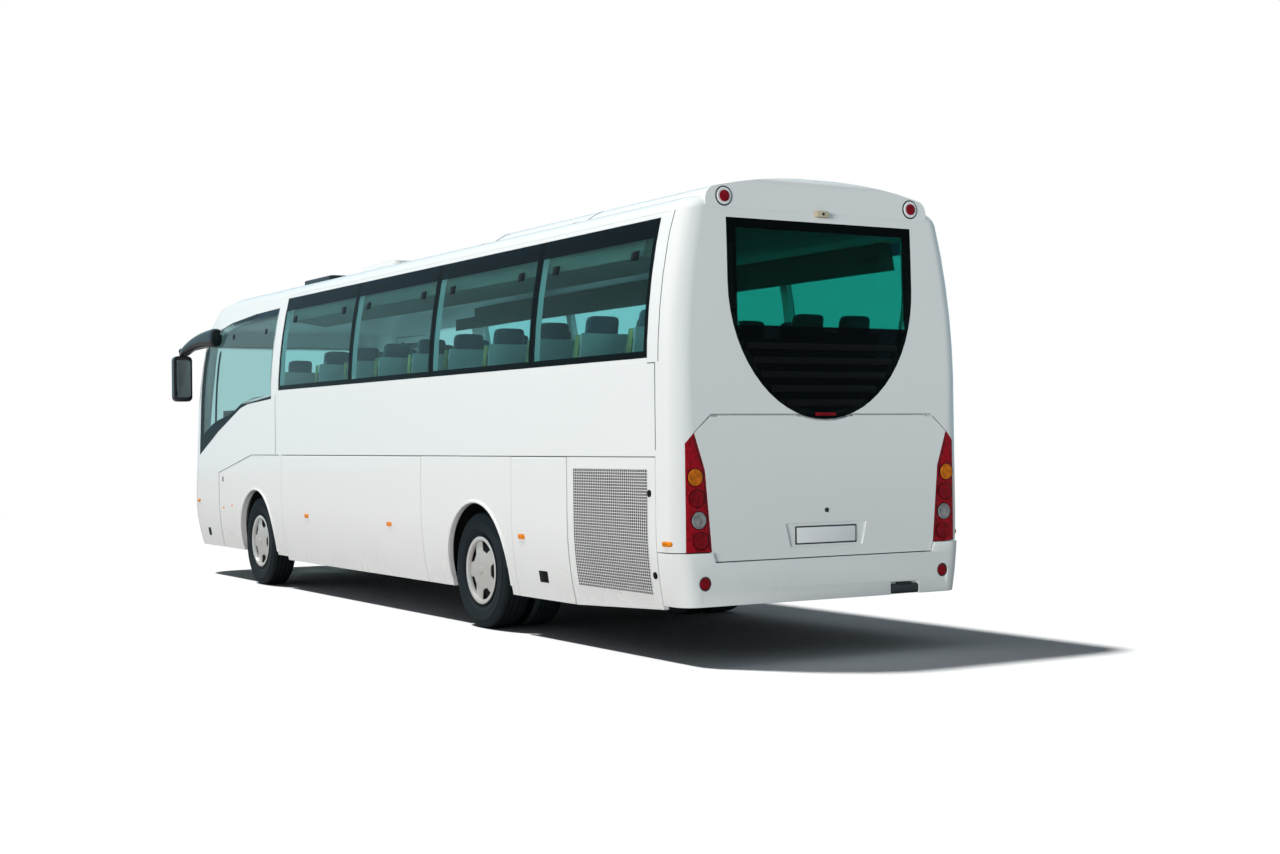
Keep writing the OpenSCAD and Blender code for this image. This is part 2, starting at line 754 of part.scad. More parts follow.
module roof() {
    color("white") difference() {
        along_x(rear_joint_s, pillar_s) intersection() {
            ring(0, wall_t);
            translate([-half_w, cant_z]) square([body_w, crown_z]);
        }
        hatch_hole(hatch_rear_s);
    }
    color("white") {
        coaming(hatch_rear_s);
        coaming(hatch_front_s);
    }
}

module door_hole(s0, w, top_z, d) {
    right() block(s0 + d, s0 + w - d, inner_y / 2, body_w, 0, top_z - d);
}
module front_cap() {
    color("white") difference() {
        front_shell(0, wall_t);
        block(0, pillar_s, -body_w, body_w, waist_z, crown_z + over);
        block(0, body_l + over, -body_w, body_w, 0, front_skirt_z);
        both_sides() arch_cut(front_axle_s);
        screen_zone(screen_lap);
        intersection() {
            difference() {
                front_solid(-over, cap_s - over, half_section(-over));
                front_solid(glass_t, cap_s - over, half_section(glass_t));
            }
            union() {
                screen_zone(0);
                along_y(0, body_w) cab_outline();
                along_y(-body_w, 0) right_cab_outline();
            }
        }
        along_y(0, body_w) cab_inner_outline();
        along_y(-body_w, 0) right_cab_inner_outline();
        door_hole(door_s, door_w, door_top_z, 0);
        hatch_hole(hatch_front_s);
        intersection() {
            headlamp_zone();
            front_shell(-over, headlamp_t);
        }
    }
}

module windscreen() {
    color("darkslategray") intersection() {
        front_shell(0, glass_t);
        screen_zone(0);
    }
}
module glass_left() {
    color("darkslategray") {
        panes();
        intersection() {
            front_shell(0, glass_t);
            along_y(0, body_w) cab_outline();
        }
    }
}
module glass_right() {
    color("darkslategray") {
        right() panes();
        intersection() {
            front_shell(0, glass_t);
            along_y(-body_w, 0) right_cab_outline();
        }
    }
}
module headlamps() {
    color("lightgray") intersection() {
        front_shell(0, headlamp_t);
        headlamp_zone();
    }
}

// Rear window, drawn from behind as [y, z]
rear_win_top_z = 3083;
rear_win_w = 817;
rear_win_mid_z = 2635;
rear_win_drop = 955;
rear_win_lap = 50;
rear_win_step_a = 6;
module rear_win_outline(d) {
    w = rear_win_w - d;
    polygon(concat([[w, rear_win_top_z - d]],
        [for (a = [0 : rear_win_step_a : 180]) [w * cos(a), rear_win_mid_z - (rear_win_drop - d) * sin(a)]],
        [[-w, rear_win_top_z - d]]));
}
module rear_zone(s1) {
    along_x(-over, s1) children();
}

// Tail lamps: tall lamp in each rear corner, drawn from behind as [y, z]
lamp_foot_y = 985;
lamp_waist_y = 1035;
lamp_waist_z = 1336;
lamp_tip_y = 1120;
lamp_tip_z = 1590;
lamp_out_y = 1185;
lamp_out_z = 1520;
lamp_t = 45;
lamp_lap = 2;
module lamp_outline() {
    polygon([[lamp_foot_y, bumper_z], [lamp_out_y, bumper_z], [lamp_out_y, lamp_out_z],
        [lamp_tip_y, lamp_tip_z], [lamp_waist_y, lamp_waist_z]]);
}

// Engine door, whose sides follow the lamps
engine_door_foot_w = 955;
engine_door_foot_z = 705;
nose_in_y = 260;
nose_out_y = 910;
module engine_door_outline(d) {
    half = [[engine_door_foot_w - d, engine_door_foot_z + d], [lamp_foot_y - seam - d, bumper_z],
        [lamp_waist_y - seam - d, lamp_waist_z], [lamp_tip_y - seam - d, lamp_tip_z],
        [engine_door_w - d, engine_door_z - d]];
    polygon(concat(half, mirrored(half)));
}
lamp_reach_s = 130;
module lamp_zone() {
    both_sides() rear_zone(lamp_reach_s) lamp_outline();
}
module rear_cap() {
    color("white") difference() {
        rear_shell(0, wall_t);
        block(-over, rear_joint_s + over, -body_w, body_w, 0, bumper_z);
        rear_zone(rear_joint_s + over) rear_win_outline(rear_win_lap);
        intersection() {
            rear_zone(rear_joint_s) rear_win_outline(0);
            difference() {
                rear_solid(-over, rear_joint_s, half_section(-over));
                rear_solid(glass_t, rear_joint_s + over, half_section(glass_t));
            }
        }
        rear_zone(flap_t + seat_gap) engine_door_outline(-seam - lamp_lap);
        rear_zone(rear_joint_s) engine_door_outline(wall_t);
        intersection() {
            lamp_zone();
            rear_shell(-over, lamp_t);
        }
    }
}
module tail_lamps() {
    color("darkred") intersection() {
        rear_shell(0, lamp_t);
        lamp_zone();
    }
}
module rear_window() {
    color("black") intersection() {
        rear_shell(0, glass_t);
        rear_zone(rear_joint_s) rear_win_outline(0);
    }
}
// Shallow pocket for the number plate, half widths at its top and foot
plate_pocket_w = 360;
plate_pocket_foot_w = 320;
plate_pocket_z = 780;
plate_pocket_h = 166;
plate_pocket_t = 14;
module plate_pocket_outline() {
    half = [[plate_pocket_foot_w, plate_pocket_z], [plate_pocket_w, plate_pocket_z + plate_pocket_h]];
    polygon(concat(half, mirrored(half)));
}
module engine_door() {
    color("white") difference() {
        union() {
            along_x(0, flap_t) intersection() {
                engine_door_outline(0);
                translate([-body_w, 0]) square([2 * body_w, engine_door_z - hinge_r]);
            }
            both_sides() rod_y(hinge_r, engine_door_z - hinge_r, hinge_r, nose_in_y, nose_out_y);
        }
        rear_zone(rear_joint_s) rear_win_outline(-2 * seam);
        along_x(-over, plate_pocket_t) plate_pocket_outline();
    }
}

// Rear bumper, wrapped round the corners up to the side joint, lower in the middle under the engine door
bumper_low_z = 400;
foothold_y = 560;
foothold_w = 265;
foothold_h = 92;
foothold_t = 15;
module rear_bumper() {
    color("white") difference() {
        intersection() {
            rear_shell(0, wall_t, bumper_out);
            block(-bumper_out - over, rear_joint_s + over, -body_w, body_w, bumper_low_z, bumper_z - seam);
        }
        along_x(-bumper_out - over, wall_t) engine_door_outline(-seam);
        block(-bumper_out - over, foothold_t, -foothold_y - foothold_w, -foothold_y, bumper_low_z - over,
            bumper_low_z + foothold_h);
    }
}

// Roof pod over the rear, in two lengths on the roof's crown
pod_w = 980;
pod_r = 100;
pod_z = 3400;
pod_side_z = 3300;
pod_foot_z = 3150;
pod_back_s = 40;
pod_edge_r = 70;
pod_joint_s = 450;
pod_end_s = 3440;
pod_slope_l = 400;
pod_crown_r = (pow(pod_w - pod_r, 2) + pow(pod_z - pod_side_z, 2)) / (2 * (pod_z - pod_side_z));
module pod_section() {
    a = asin((pod_w - pod_r) / pod_crown_r);
    polygon(concat([[pod_w, pod_foot_z]],
        arc([pod_w - pod_r, pod_side_z - pod_r], pod_r, 0, 90 - a, side_steps),
        tail(arc([0, pod_z - pod_crown_r], pod_crown_r, 90 - a, 90 + a, 2 * side_steps)),
        tail(arc([pod_r - pod_w, pod_side_z - pod_r], pod_r, 90 + a, 180, side_steps)), [[-pod_w, pod_foot_z]]));
}
module roof_pod() {
    color("white") intersection() {
        along_x(pod_joint_s + seam, pod_end_s) difference() {
            pod_section();
            section(-2 * seat_gap);
        }
        along_y(-body_w, body_w) polygon([[pod_joint_s, pod_foot_z], [pod_end_s + over, pod_foot_z],
            [pod_end_s, pod_foot_z + over], [pod_end_s - pod_slope_l, pod_z + over], [pod_joint_s, pod_z + over]]);
    }
    color("white") difference() {
        intersection() {
            along_x(pod_back_s, pod_joint_s) pod_section();
            along_y(-body_w, body_w) polygon(concat([[pod_back_s, pod_foot_z - over]],
                [[pod_joint_s + over, pod_foot_z - over], [pod_joint_s + over, pod_z]],
                arc([pod_back_s + pod_edge_r, pod_z - pod_edge_r], pod_edge_r, 90, 180, side_steps)));
        }
        rear_solid(-seat_gap, pod_joint_s + over, half_section(-seat_gap));
        along_x(rear_joint_s, pod_joint_s + over) section(-2 * seat_gap);
    }
}

// Mirrors on arms that hang in front of the windscreen's corners
module mirror_left() {
    root = [mirror_root_s, mirror_y - mirror_in, mirror_root_z];
    elbow = [mirror_s, mirror_y, mirror_top_z + 2 * mirror_arm_r];
    neck = [mirror_s, mirror_y, mirror_top_z - mirror_arm_r];
    difference() {
        union() {
            rod(root, elbow, mirror_root_r, mirror_arm_r);
            translate([st(elbow[0]), elbow[1], elbow[2]]) sphere(r = mirror_knob_r);
            rod(neck, elbow, mirror_arm_r);
            translate([st(mirror_s), mirror_y - mirror_w / 2, mirror_top_z - mirror_h])
                rotate([90, 0, 90]) translate([0, 0, -mirror_d / 2]) linear_extrude(mirror_d)
                    rounded_2d(mirror_w, mirror_h, mirror_w / 4);
        }
        front_solid(-seat_gap, cap_s, half_section(-seat_gap));
    }
}
module mirrors() color("#222222") both_sides() mirror_left();

// Wipers parked along the foot of the windscreen, [y] of each blade's inner end
wiper_l = 860;
wiper_t = 25;
wiper_h = 30;
wiper_lift = 35;
wiper_arm_w = 40;
wiper_pivot_drop = 110;
wiper_ys = [-980, 60];
module wiper_outline(y) {
    translate([y, screen_foot_z + wiper_lift]) square([wiper_l, wiper_h]);
    translate([y, screen_foot_z - wiper_pivot_drop]) square([wiper_arm_w, wiper_pivot_drop + wiper_lift + wiper_h]);
}
module wipers() {
    color("#222222") intersection() {
        front_shell(-wiper_t, -seat_gap);
        along_x(screen_back_s, body_l + 2 * over) for (y = wiper_ys) wiper_outline(y);
    }
}

// Seats in rows of two, drawn from the side
seat_pitch = 790;
seat_rows = 9;
seat_row_s = 900;
seat_w = 430;
seat_h = 1080;
seat_depth = 460;
seat_lift = 330;
cushion_t = 130;
back_t = 110;
back_lean = 130;
seat_gap_y = 20;
seat_wall_gap = 30;
pedestal_w = 260;
pedestal_t = 60;
module seat_profile() {
    polygon([[0, seat_lift], [seat_depth, seat_lift], [seat_depth, seat_lift + cushion_t],
        [back_t, seat_lift + cushion_t], [back_t - back_lean, seat_h], [-back_lean, seat_h]]);
}
module seat_pair(s) {
    for (k = [0, 1])
        translate([0, -k * (seat_w + seat_gap_y), 0])
            along_y(inner_y - tumble / 2 - seat_wall_gap - seat_w, inner_y - tumble / 2 - seat_wall_gap)
                translate([s, floor_z]) seat_profile();
    block(s + back_t, s + back_t + pedestal_w, inner_y - seat_wall_gap - tumble / 2 - seat_w - pedestal_w,
        inner_y - tumble / 2 - seat_wall_gap - seat_w + pedestal_w, floor_z, floor_z + seat_lift);
}
module seats_left() {
    color("slategray") for (i = [0 : seat_rows - 1]) seat_pair(seat_row_s + i * seat_pitch);
}
module seats_right() {
    color("slategray") right() for (i = [0 : seat_rows - 1])
        if (seat_row_s + i * seat_pitch < mid_door_s - seat_depth
            || seat_row_s + i * seat_pitch - back_lean > mid_door_s + mid_door_w)
            seat_pair(seat_row_s + i * seat_pitch);
}
driver_y = 560;
driver_s = 9250;
module driver_seat() {
    color("slategray") {
        along_y(driver_y - seat_w / 2, driver_y + seat_w / 2) translate([driver_s, floor_z]) seat_profile();
        block(driver_s + back_t, driver_s + back_t + pedestal_w, driver_y - pedestal_w / 2, driver_y + pedestal_w / 2,
            floor_z, floor_z + seat_lift);
    }
}

// Dashboard with the steering column, and the steering wheel on its shaft
dash_back = 950;
dash_s = body_l - dash_back;
dash_l = 330;
dash_in_y = 60;
dash_out_y = 1000;
dash_h = 520;
column_a = 25;
column_r = 40;
column_l = 330;
column_z = 1990;
shaft_r = 14;
wheel_ring_r = 225;
wheel_grip_r = 16;
wheel_hub_h = 40;
wheel_lift = 15;
module on_column() {
    translate([st(dash_s), driver_y, column_z]) rotate([0, -column_a, 0]) children();
}
module dashboard() {
    color("#333333") union() {
        block(dash_s, dash_s + dash_l, dash_in_y, dash_out_y, floor_z, floor_z + dash_h);
        on_column() {
            translate([0, 0, -column_l]) cylinder(r = column_r, h = column_l);
            cylinder(r = shaft_r, h = wheel_hub_h);
        }
    }
}
module steering_wheel() {
    color("#222222") on_column() translate([0, 0, seat_gap]) {
        difference() {
            union() {
                cylinder(r = column_r, h = wheel_hub_h + wheel_lift);
                translate([0, 0, wheel_hub_h / 2]) rotate_extrude() translate([wheel_ring_r, 0]) circle(r = wheel_grip_r, $fn = 24);
                for (i = [0 : 2]) rotate([0, 0, 90 + i * 120]) translate([0, -wheel_grip_r, wheel_hub_h / 4])
                    cube([wheel_ring_r, 2 * wheel_grip_r, wheel_hub_h / 2]);
            }
            translate([0, 0, -over]) cylinder(r = shaft_r + run_gap, h = wheel_hub_h + over + seat_gap);
        }
    }
}

// Luggage racks along the walls
rack_in_y = 760;
rack_z = 2790;
rack_h = 130;
rack_t = 35;
rack_start_s = 600;
rack_end_s = 7800;
module rack_2d() {
    intersection() {
        section(wall_t);
        polygon([[rack_in_y, rack_z], [half_w, rack_z + rack_t * 2], [half_w, rack_z + rack_h * 2],
            [half_w - tumble * 2, rack_z + rack_h * 2], [half_w - tumble * 2, rack_z + rack_h],
            [rack_in_y + rack_t, rack_z + rack_t + rack_t], [rack_in_y, rack_z + rack_h]]);
    }
}
module luggage_racks() {
    color("gray") both_sides() along_x(rack_start_s, rack_end_s) rack_2d();
}

// Flap under the waist seam, with its rounded hinge edge
module side_flap(s0, s1) {
    union() {
        along_x(s0 + seam / 2, s1 - seam / 2) wall_2d(0, flap_t, skirt_z, waist_z - seam - hinge_r);
        rod_x(half_w - hinge_r, waist_z - seam - hinge_r, hinge_r, s0 + seam / 2, s1 - seam / 2);
    }
}
module luggage_flap_left() color("white") side_flap(bay_s, cap_s);
module luggage_flap_right() color("white") right() side_flap(mid_door_s + mid_door_w, cap_s);
module service_flap_left() color("white") side_flap(grille_end_s, service_end_s);
module service_flap_right() color("white") right() side_flap(grille_end_s, service_end_s);

// Door behind the rear wheels, hinged at its front edge
grille_in = 115;
grille_top = 95;
grille_foot = 180;
bar_w = 10;
bar_rows = 20;
bar_columns = 25;
side_hinge_z = 1000;
skirt_rise = 70;
module side_door_blank() {
    union() {
        difference() {
            along_x(grille_s + seam / 2, grille_end_s - seam / 2 - hinge_r) wall_2d(0, flap_t, skirt_z, waist_z - seam);
            along_y(0, body_w) polygon([[0, 0], [grille_end_s, 0], [grille_end_s, skirt_z], [0, skirt_z + skirt_rise]]);
        }
        translate([st(grille_end_s - seam / 2 - hinge_r), half_w - hinge_r, side_hinge_z])
            cylinder(r = hinge_r, h = waist_z - seam - side_hinge_z);
    }
}
module grille_windows(rows, columns) {
    l = grille_end_s - grille_s - 2 * grille_in;
    h = waist_z - grille_top - grille_foot - skirt_z;
    pl = l / columns;
    ph = h / rows;
    for (i = [0 : columns - 1], j = [0 : rows - 1])
        block(grille_s + grille_in + i * pl + bar_w / 2, grille_s + grille_in + (i + 1) * pl - bar_w / 2, 0, body_w,
            skirt_z + grille_foot + j * ph + bar_w / 2, skirt_z + grille_foot + (j + 1) * ph - bar_w / 2);
}
module grille_door_left() {
    color("white") difference() {
        side_door_blank();
        grille_windows(bar_rows, bar_columns);
    }
}
module side_door_right() {
    color("white") right() difference() {
        side_door_blank();
        grille_windows(bar_rows, 1);
    }
}

// Passenger doors: leaf with its window, and the column whose two arms swing it out
leaf_t = 45;
leaf_z = 375;
leaf_rim = 80;
arm_post_r = 30;
arm_r = 18;
knee_r = 26;
post_in_y = 175;
post_s = 100;
knee = [-150, 260];
wrist = [-540, 35];
arm_z = 800;
arm_top_z = 2300;
mid_arm_top_z = 1780;
arm_post_past = 120;
pin_r = 14;
pin_h = 40;
lug_r = 30;
rail_t = 20;
module front_leaf() {
    intersection() {
        front_shell(0, leaf_t);
        door_hole(door_s, door_w, door_top_z, seam);
        block(door_s, door_s + door_w, -body_w, body_w, leaf_z, crown_z);
    }
}
module door_window(s, w, top_z) {
    right() block(s + leaf_rim, s + w - leaf_rim, 0, body_w, leaf_z + 2 * leaf_rim, top_z - leaf_rim);
}
// Bars across the leaf, with the lugs that the arms' pins pass through
module leaf_lugs(s, w, top_z) {
    pivot_s = s + w - post_s + wrist[0];
    pivot_y = half_w - post_in_y - wrist[1];
    right() for (z = [arm_z, top_z])
        difference() {
            union() {
                translate([st(pivot_s), pivot_y, z + arm_r + run_gap]) cylinder(r = lug_r, h = lug_r);
                block(pivot_s - lug_r / 2, pivot_s + lug_r / 2, pivot_y, half_w - leaf_t - tumble_in(z),
                    z + arm_r + run_gap, z + arm_r + run_gap + lug_r);
                block(s + leaf_rim / 2, s + w - leaf_rim / 2, half_w - leaf_t - tumble_in(z) - rail_t,
                    half_w - leaf_t - tumble_in(z) + rail_t / 2, z + arm_r + run_gap, z + arm_r + run_gap + lug_r);
            }
            translate([st(pivot_s), pivot_y, z - over]) cylinder(r = pin_r + run_gap, h = arm_r + over + pin_h);
        }
}
function tumble_in(z) = z < tumble_z ? (z < tuck_z ? tuck_r - sqrt(tuck_r * tuck_r - pow(tuck_z - z, 2)) : 0)
    : tumble_r - sqrt(tumble_r * tumble_r - pow(z - tumble_z, 2));
module door_arms(s, w, top_z) {
    post = s + w - post_s;
    post_y = half_w - post_in_y;
    right() {
        translate([st(post), post_y, step_z + seat_gap]) cylinder(r = arm_post_r, h = top_z + arm_post_past - step_z);
        for (z = [arm_z, top_z]) {
            translate([st(post), post_y, z - arm_r]) linear_extrude(2 * arm_r) arm_2d();
            translate([st(post + wrist[0]), post_y - wrist[1], z]) cylinder(r = pin_r, h = arm_r + pin_h);
        }
    }
}
module bar_2d(p, q) {
    d = q - p;
    translate(p) rotate([0, 0, atan2(d[1], d[0])]) translate([0, -arm_r]) square([norm(d), 2 * arm_r]);
}
module arm_2d() {
    k = [knee[0], -knee[1]];
    w = [wrist[0], -wrist[1]];
    union() {
        bar_2d([0, 0], k);
        bar_2d(k, w);
        translate(k) circle(r = knee_r);
        translate(w) circle(r = lug_r);
    }
}
module front_door() {
    color("white") union() {
        difference() {
            front_leaf();
            door_window(door_s, door_w, door_top_z);
        }
        leaf_lugs(door_s, door_w, arm_top_z);
    }
}
module front_door_glass() {
    color("darkslategray") intersection() {
        front_shell(0, glass_t);
        door_window(door_s, door_w, door_top_z);
    }
}
module front_door_arms() color("gray") door_arms(door_s, door_w, arm_top_z);
module middle_door() {
    color("white") union() {
        right() difference() {
            along_x(mid_door_s + seam, mid_door_s + mid_door_w - seam) wall_2d(0, leaf_t, leaf_z, mid_top_z - seam);
            right() door_window(mid_door_s, mid_door_w, mid_top_z);
        }
        leaf_lugs(mid_door_s, mid_door_w, mid_arm_top_z);
    }
}
module middle_door_glass() color("darkslategray") right() along_x(mid_door_s + leaf_rim, mid_door_s + mid_door_w - leaf_rim)
    wall_2d(0, glass_t, leaf_z + 2 * leaf_rim, mid_top_z - leaf_rim);
module middle_door_arms() color("gray") door_arms(mid_door_s, mid_door_w, mid_arm_top_z);
module hatch_front() color("black") hatch_lid(hatch_front_s);
module hatch_rear() color("white") hatch_lid(hatch_rear_s);

chassis();
front_axle();
rear_axle();
engine();
radiator();
floor_deck();
luggage_bay();
wheel_housings();
steps();
side_wall_left();
side_wall_right();
skirt_left();
skirt_right();
roof();
front_cap();
rear_cap();
rear_bumper();
roof_pod();
windscreen();
glass_left();
glass_right();
rear_window();
tail_lamps();
headlamps();
mirrors();
wipers();
seats_left();
seats_right();
driver_seat();
dashboard();
luggage_racks();
knuckle_left();
knuckle_right();
tyre_front_left();
wheel_front_left();
tyre_front_right();
wheel_front_right();
tyres_rear_left();
wheels_rear_left();
tyres_rear_right();
wheels_rear_right();
steering_wheel();
front_door();
front_door_glass();
front_door_arms();
middle_door();
middle_door_glass();
middle_door_arms();
luggage_flap_left();
luggage_flap_right();
service_flap_left();
service_flap_right();
grille_door_left();
side_door_right();
engine_door();
hatch_front();
hatch_rear();
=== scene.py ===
import json
import math

import bmesh
import bpy
from mathutils import Matrix, Vector
from mathutils.bvhtree import BVHTree

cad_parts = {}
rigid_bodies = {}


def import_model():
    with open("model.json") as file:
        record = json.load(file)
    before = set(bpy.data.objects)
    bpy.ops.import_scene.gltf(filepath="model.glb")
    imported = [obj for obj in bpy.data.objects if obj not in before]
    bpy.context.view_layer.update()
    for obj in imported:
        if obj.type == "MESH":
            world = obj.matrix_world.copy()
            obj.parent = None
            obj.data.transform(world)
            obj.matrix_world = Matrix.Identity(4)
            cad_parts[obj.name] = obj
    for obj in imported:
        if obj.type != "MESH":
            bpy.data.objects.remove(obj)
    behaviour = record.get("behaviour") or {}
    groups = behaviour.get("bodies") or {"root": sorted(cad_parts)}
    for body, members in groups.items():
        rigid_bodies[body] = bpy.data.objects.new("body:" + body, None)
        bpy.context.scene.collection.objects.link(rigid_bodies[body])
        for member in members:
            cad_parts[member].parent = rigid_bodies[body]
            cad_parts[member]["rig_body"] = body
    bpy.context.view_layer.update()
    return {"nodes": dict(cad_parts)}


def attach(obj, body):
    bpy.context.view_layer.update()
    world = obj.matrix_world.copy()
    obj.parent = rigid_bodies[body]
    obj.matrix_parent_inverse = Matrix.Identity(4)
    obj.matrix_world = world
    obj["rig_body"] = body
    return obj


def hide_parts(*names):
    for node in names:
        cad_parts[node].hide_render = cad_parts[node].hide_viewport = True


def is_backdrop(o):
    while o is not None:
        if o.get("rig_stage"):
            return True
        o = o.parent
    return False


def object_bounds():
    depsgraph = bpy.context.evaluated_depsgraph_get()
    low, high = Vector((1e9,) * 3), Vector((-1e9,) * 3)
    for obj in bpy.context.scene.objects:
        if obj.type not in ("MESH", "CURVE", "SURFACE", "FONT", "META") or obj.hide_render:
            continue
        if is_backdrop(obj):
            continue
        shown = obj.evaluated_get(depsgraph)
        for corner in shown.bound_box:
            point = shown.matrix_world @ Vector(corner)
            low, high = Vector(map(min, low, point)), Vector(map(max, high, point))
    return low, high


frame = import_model()
nodes = frame["nodes"]
midStation = 5.7125  # stations run forward from the rear face, in metres
print("frame loaded with", len(nodes), "nodes")


def st(station):
    return station - midStation


# camera where the photograph was taken, and the light
shot = {"place": (-15.6965, 7.556, 1.545), "yaw": -0.5419, "pitch": 0.0075, "roll": -0.0107, "lens": 49.12}
light = {"sky": 0.12, "skyTone": (0.78, 0.90, 1.0), "mirrored": (0.40, 0.63, 0.72),
         "floor": (0.97, 0.97, 0.97), "bounce": (0.34, 0.34, 0.34), "fadeFrom": 13.0, "fadeTo": 24.0}
lamps = {"sun": {"kind": "SUN", "aim": (0.34, 0.26, 1.0), "power": 3.3, "angle": 4, "tint": (1, 1, 1)},
         "sideFill": {"kind": "SUN", "aim": (-0.45, 1.0, 0.06), "power": 3.35, "angle": 20,
                      "tint": (1.0, 0.99, 0.97)},
         "rearFill": {"kind": "AREA", "place": (-19.0, -2.5, 2.6), "aim": (-1, -0.13, 0.04), "power": 360,
                      "size": (7, 5), "tint": (0.72, 0.94, 1.0)}}
indoors = ("seats_left_pads", "seats_right_pads", "driver_seat_pads", "luggage_racks_skin", "dashboard_skin")


def makeCamera():
    yaw, pitch, roll = shot["yaw"], shot["pitch"], shot["roll"]
    ahead = Vector((math.cos(yaw) * math.cos(pitch), math.sin(yaw) * math.cos(pitch), math.sin(pitch)))
    side = Vector((math.sin(yaw), -math.cos(yaw), 0))
    up = side.cross(ahead)
    right = side * math.cos(roll) + up * math.sin(roll)
    top = up * math.cos(roll) - side * math.sin(roll)
    data = bpy.data.cameras.new("photoCamera")
    data.sensor_width = 36
    data.sensor_fit = "HORIZONTAL"
    data.lens = shot["lens"]
    data.clip_end = 300
    eye = bpy.data.objects.new("photoCamera", data)
    link(eye)
    turn = Matrix((right, top, -ahead)).transposed().to_4x4()
    eye.matrix_world = Matrix.Translation(shot["place"]) @ turn
    bpy.context.scene.camera = eye


# one wrapped socket, so that shader sums read as sums
class Wire:
    def __init__(self, shade, out):
        self.shade = shade
        self.out = out

    def calc(self, operation, other=0.0, swap=False):
        pair = (other, self) if swap else (self, other)
        return self.shade.node("ShaderNodeMath", {"operation": operation}, {0: pair[0], 1: pair[1]})

    def __add__(self, other):
        return self.calc("ADD", other)

    __radd__ = __add__

    def __sub__(self, other):
        return self.calc("SUBTRACT", other)

    def __rsub__(self, other):
        return self.calc("SUBTRACT", other, True)

    def __mul__(self, other):
        return self.calc("MULTIPLY", other)

    def size(self):
        return self.calc("ABSOLUTE")

    def most(self, other):
        return self.calc("MAXIMUM", other)

    def least(self, other):
        return self.calc("MINIMUM", other)

    def wave(self):
        return self.calc("SINE")

    def rise(self, low, high):
        return self.shade.node("ShaderNodeMapRange", {"interpolation_type": "SMOOTHSTEP"},
                               {"Value": self, "From Min": low, "From Max": high})

    def fall(self, low, high):
        return 1 - self.rise(low, high)


socketNames = {"colour": "Base Color", "rough": "Roughness", "metal": "Metallic", "coat": "Coat Weight",
               "coatRough": "Coat Roughness", "bend": "IOR", "sheen": "Sheen Weight", "normal": "Normal"}


class Shade:
    def __init__(self, name, world=None):
        self.mat = world or bpy.data.materials.new(name)
        self.mat.use_nodes = True
        self.tree = self.mat.node_tree
        self.skin = self.tree.nodes.get("Principled BSDF")

    def node(self, kind, settings, sockets, output=0):
        made = self.tree.nodes.new(kind)
        for key, value in settings.items():
            setattr(made, key, value)
        for key, value in sockets.items():
            self.join(made.inputs[key], value)
        return Wire(self, made.outputs[output])

    def join(self, socket, value):
        if isinstance(value, Wire):
            self.tree.links.new(value.out, socket)
        elif socket.type == "RGBA" and len(value) == 3:
            socket.default_value = (*value, 1)
        else:
            socket.default_value = value

    def place(self):
        return self.node("ShaderNodeTexCoord", {}, {}, 3)

    def parts(self, vector):
        return [self.node("ShaderNodeSeparateXYZ", {}, {0: vector}, k) for k in range(3)]

    def noise(self, scale, detail=2.0, vector=None):
        spot = vector or self.place()
        return self.node("ShaderNodeTexNoise", {}, {"Vector": spot, "Scale": scale, "Detail": detail})

    def mix(self, first, second, share):
        return self.node("ShaderNodeMix", {"data_type": "RGBA"}, {0: share, 6: first, 7: second}, 2)

    def bump(self, height, strength, distance):
        return self.node("ShaderNodeBump", {}, {"Height": height, "Strength": strength, "Distance": distance})

    def seen(self):
        keys = ("Is Camera Ray", "Is Transmission Ray")
        rays = [self.node("ShaderNodeLightPath", {}, {}, key) for key in keys]
        return rays[0].most(rays[1])

    def choose(self, share, first, second):
        return self.node("ShaderNodeMixShader", {}, {0: share, 1: first, 2: second})

    def show(self, output, whole):
        self.tree.links.new(whole.out, self.tree.nodes[output].inputs["Surface"])

    def dress(self, **sockets):
        for key, value in sockets.items():
            self.join(self.skin.inputs[socketNames[key]], value)
        return self.mat


def newShade(name):
    shade = Shade(name)
    place = shade.place()
    return shade, place, *shade.parts(place)


# finishes
paintLook = {"white": (0.71, 0.72, 0.715), "dusty": (0.55, 0.54, 0.51), "dustTop": 0.85, "coat": 0.35}
# the grille plan also holds the near-black colour painted behind the sheet as painted shade, and the width of
# its soft edge
grillePlan = {"from": 0.360, "to": 1.420, "foot": 0.470, "top": 1.340, "columns": 40, "rows": 42,
              "web": 0.0025, "lift": 0.002, "thick": 0.002, "paintedShade": (0.006, 0.006, 0.007), "edge": 0.002}


def makePaint(name="whitePaint", shadeBehindGrille=False):
    shade, place, x, y, z = newShade(name)
    cloud = shade.noise(1.6, 4.0, place)
    speck = shade.noise(140.0, 2.0, place)
    dust = z.fall(0.3, paintLook["dustTop"]) * cloud.rise(0.35, 0.75)
    colour = shade.mix(paintLook["white"], paintLook["dusty"], dust * 0.25 + speck * 0.02)
    coatShare = paintLook["coat"]
    # inside the grille opening the door is painted near-black with no coat: painted shade where the bars
    # behind the sheet would lie in shadow
    if shadeBehindGrille:
        edge = grillePlan["edge"]
        start, end = st(grillePlan["from"]), st(grillePlan["to"])
        paintedShade = x.rise(start, start + edge) * x.fall(end, end + edge)
        paintedShade = paintedShade * z.rise(grillePlan["foot"], grillePlan["foot"] + edge)
        paintedShade = paintedShade * z.fall(grillePlan["top"], grillePlan["top"] + edge)
        colour = shade.mix(colour, grillePlan["paintedShade"], paintedShade)
        coatShare = coatShare - paintedShade * coatShare
    waves = shade.bump(shade.noise(2.2, 1.0, place) + speck * 0.01, 0.012, 0.02)
    return shade.dress(colour=colour, rough=0.13 + dust * 0.3 + cloud * 0.05, coat=coatShare, coatRough=0.04,
                       bend=1.4, normal=waves)


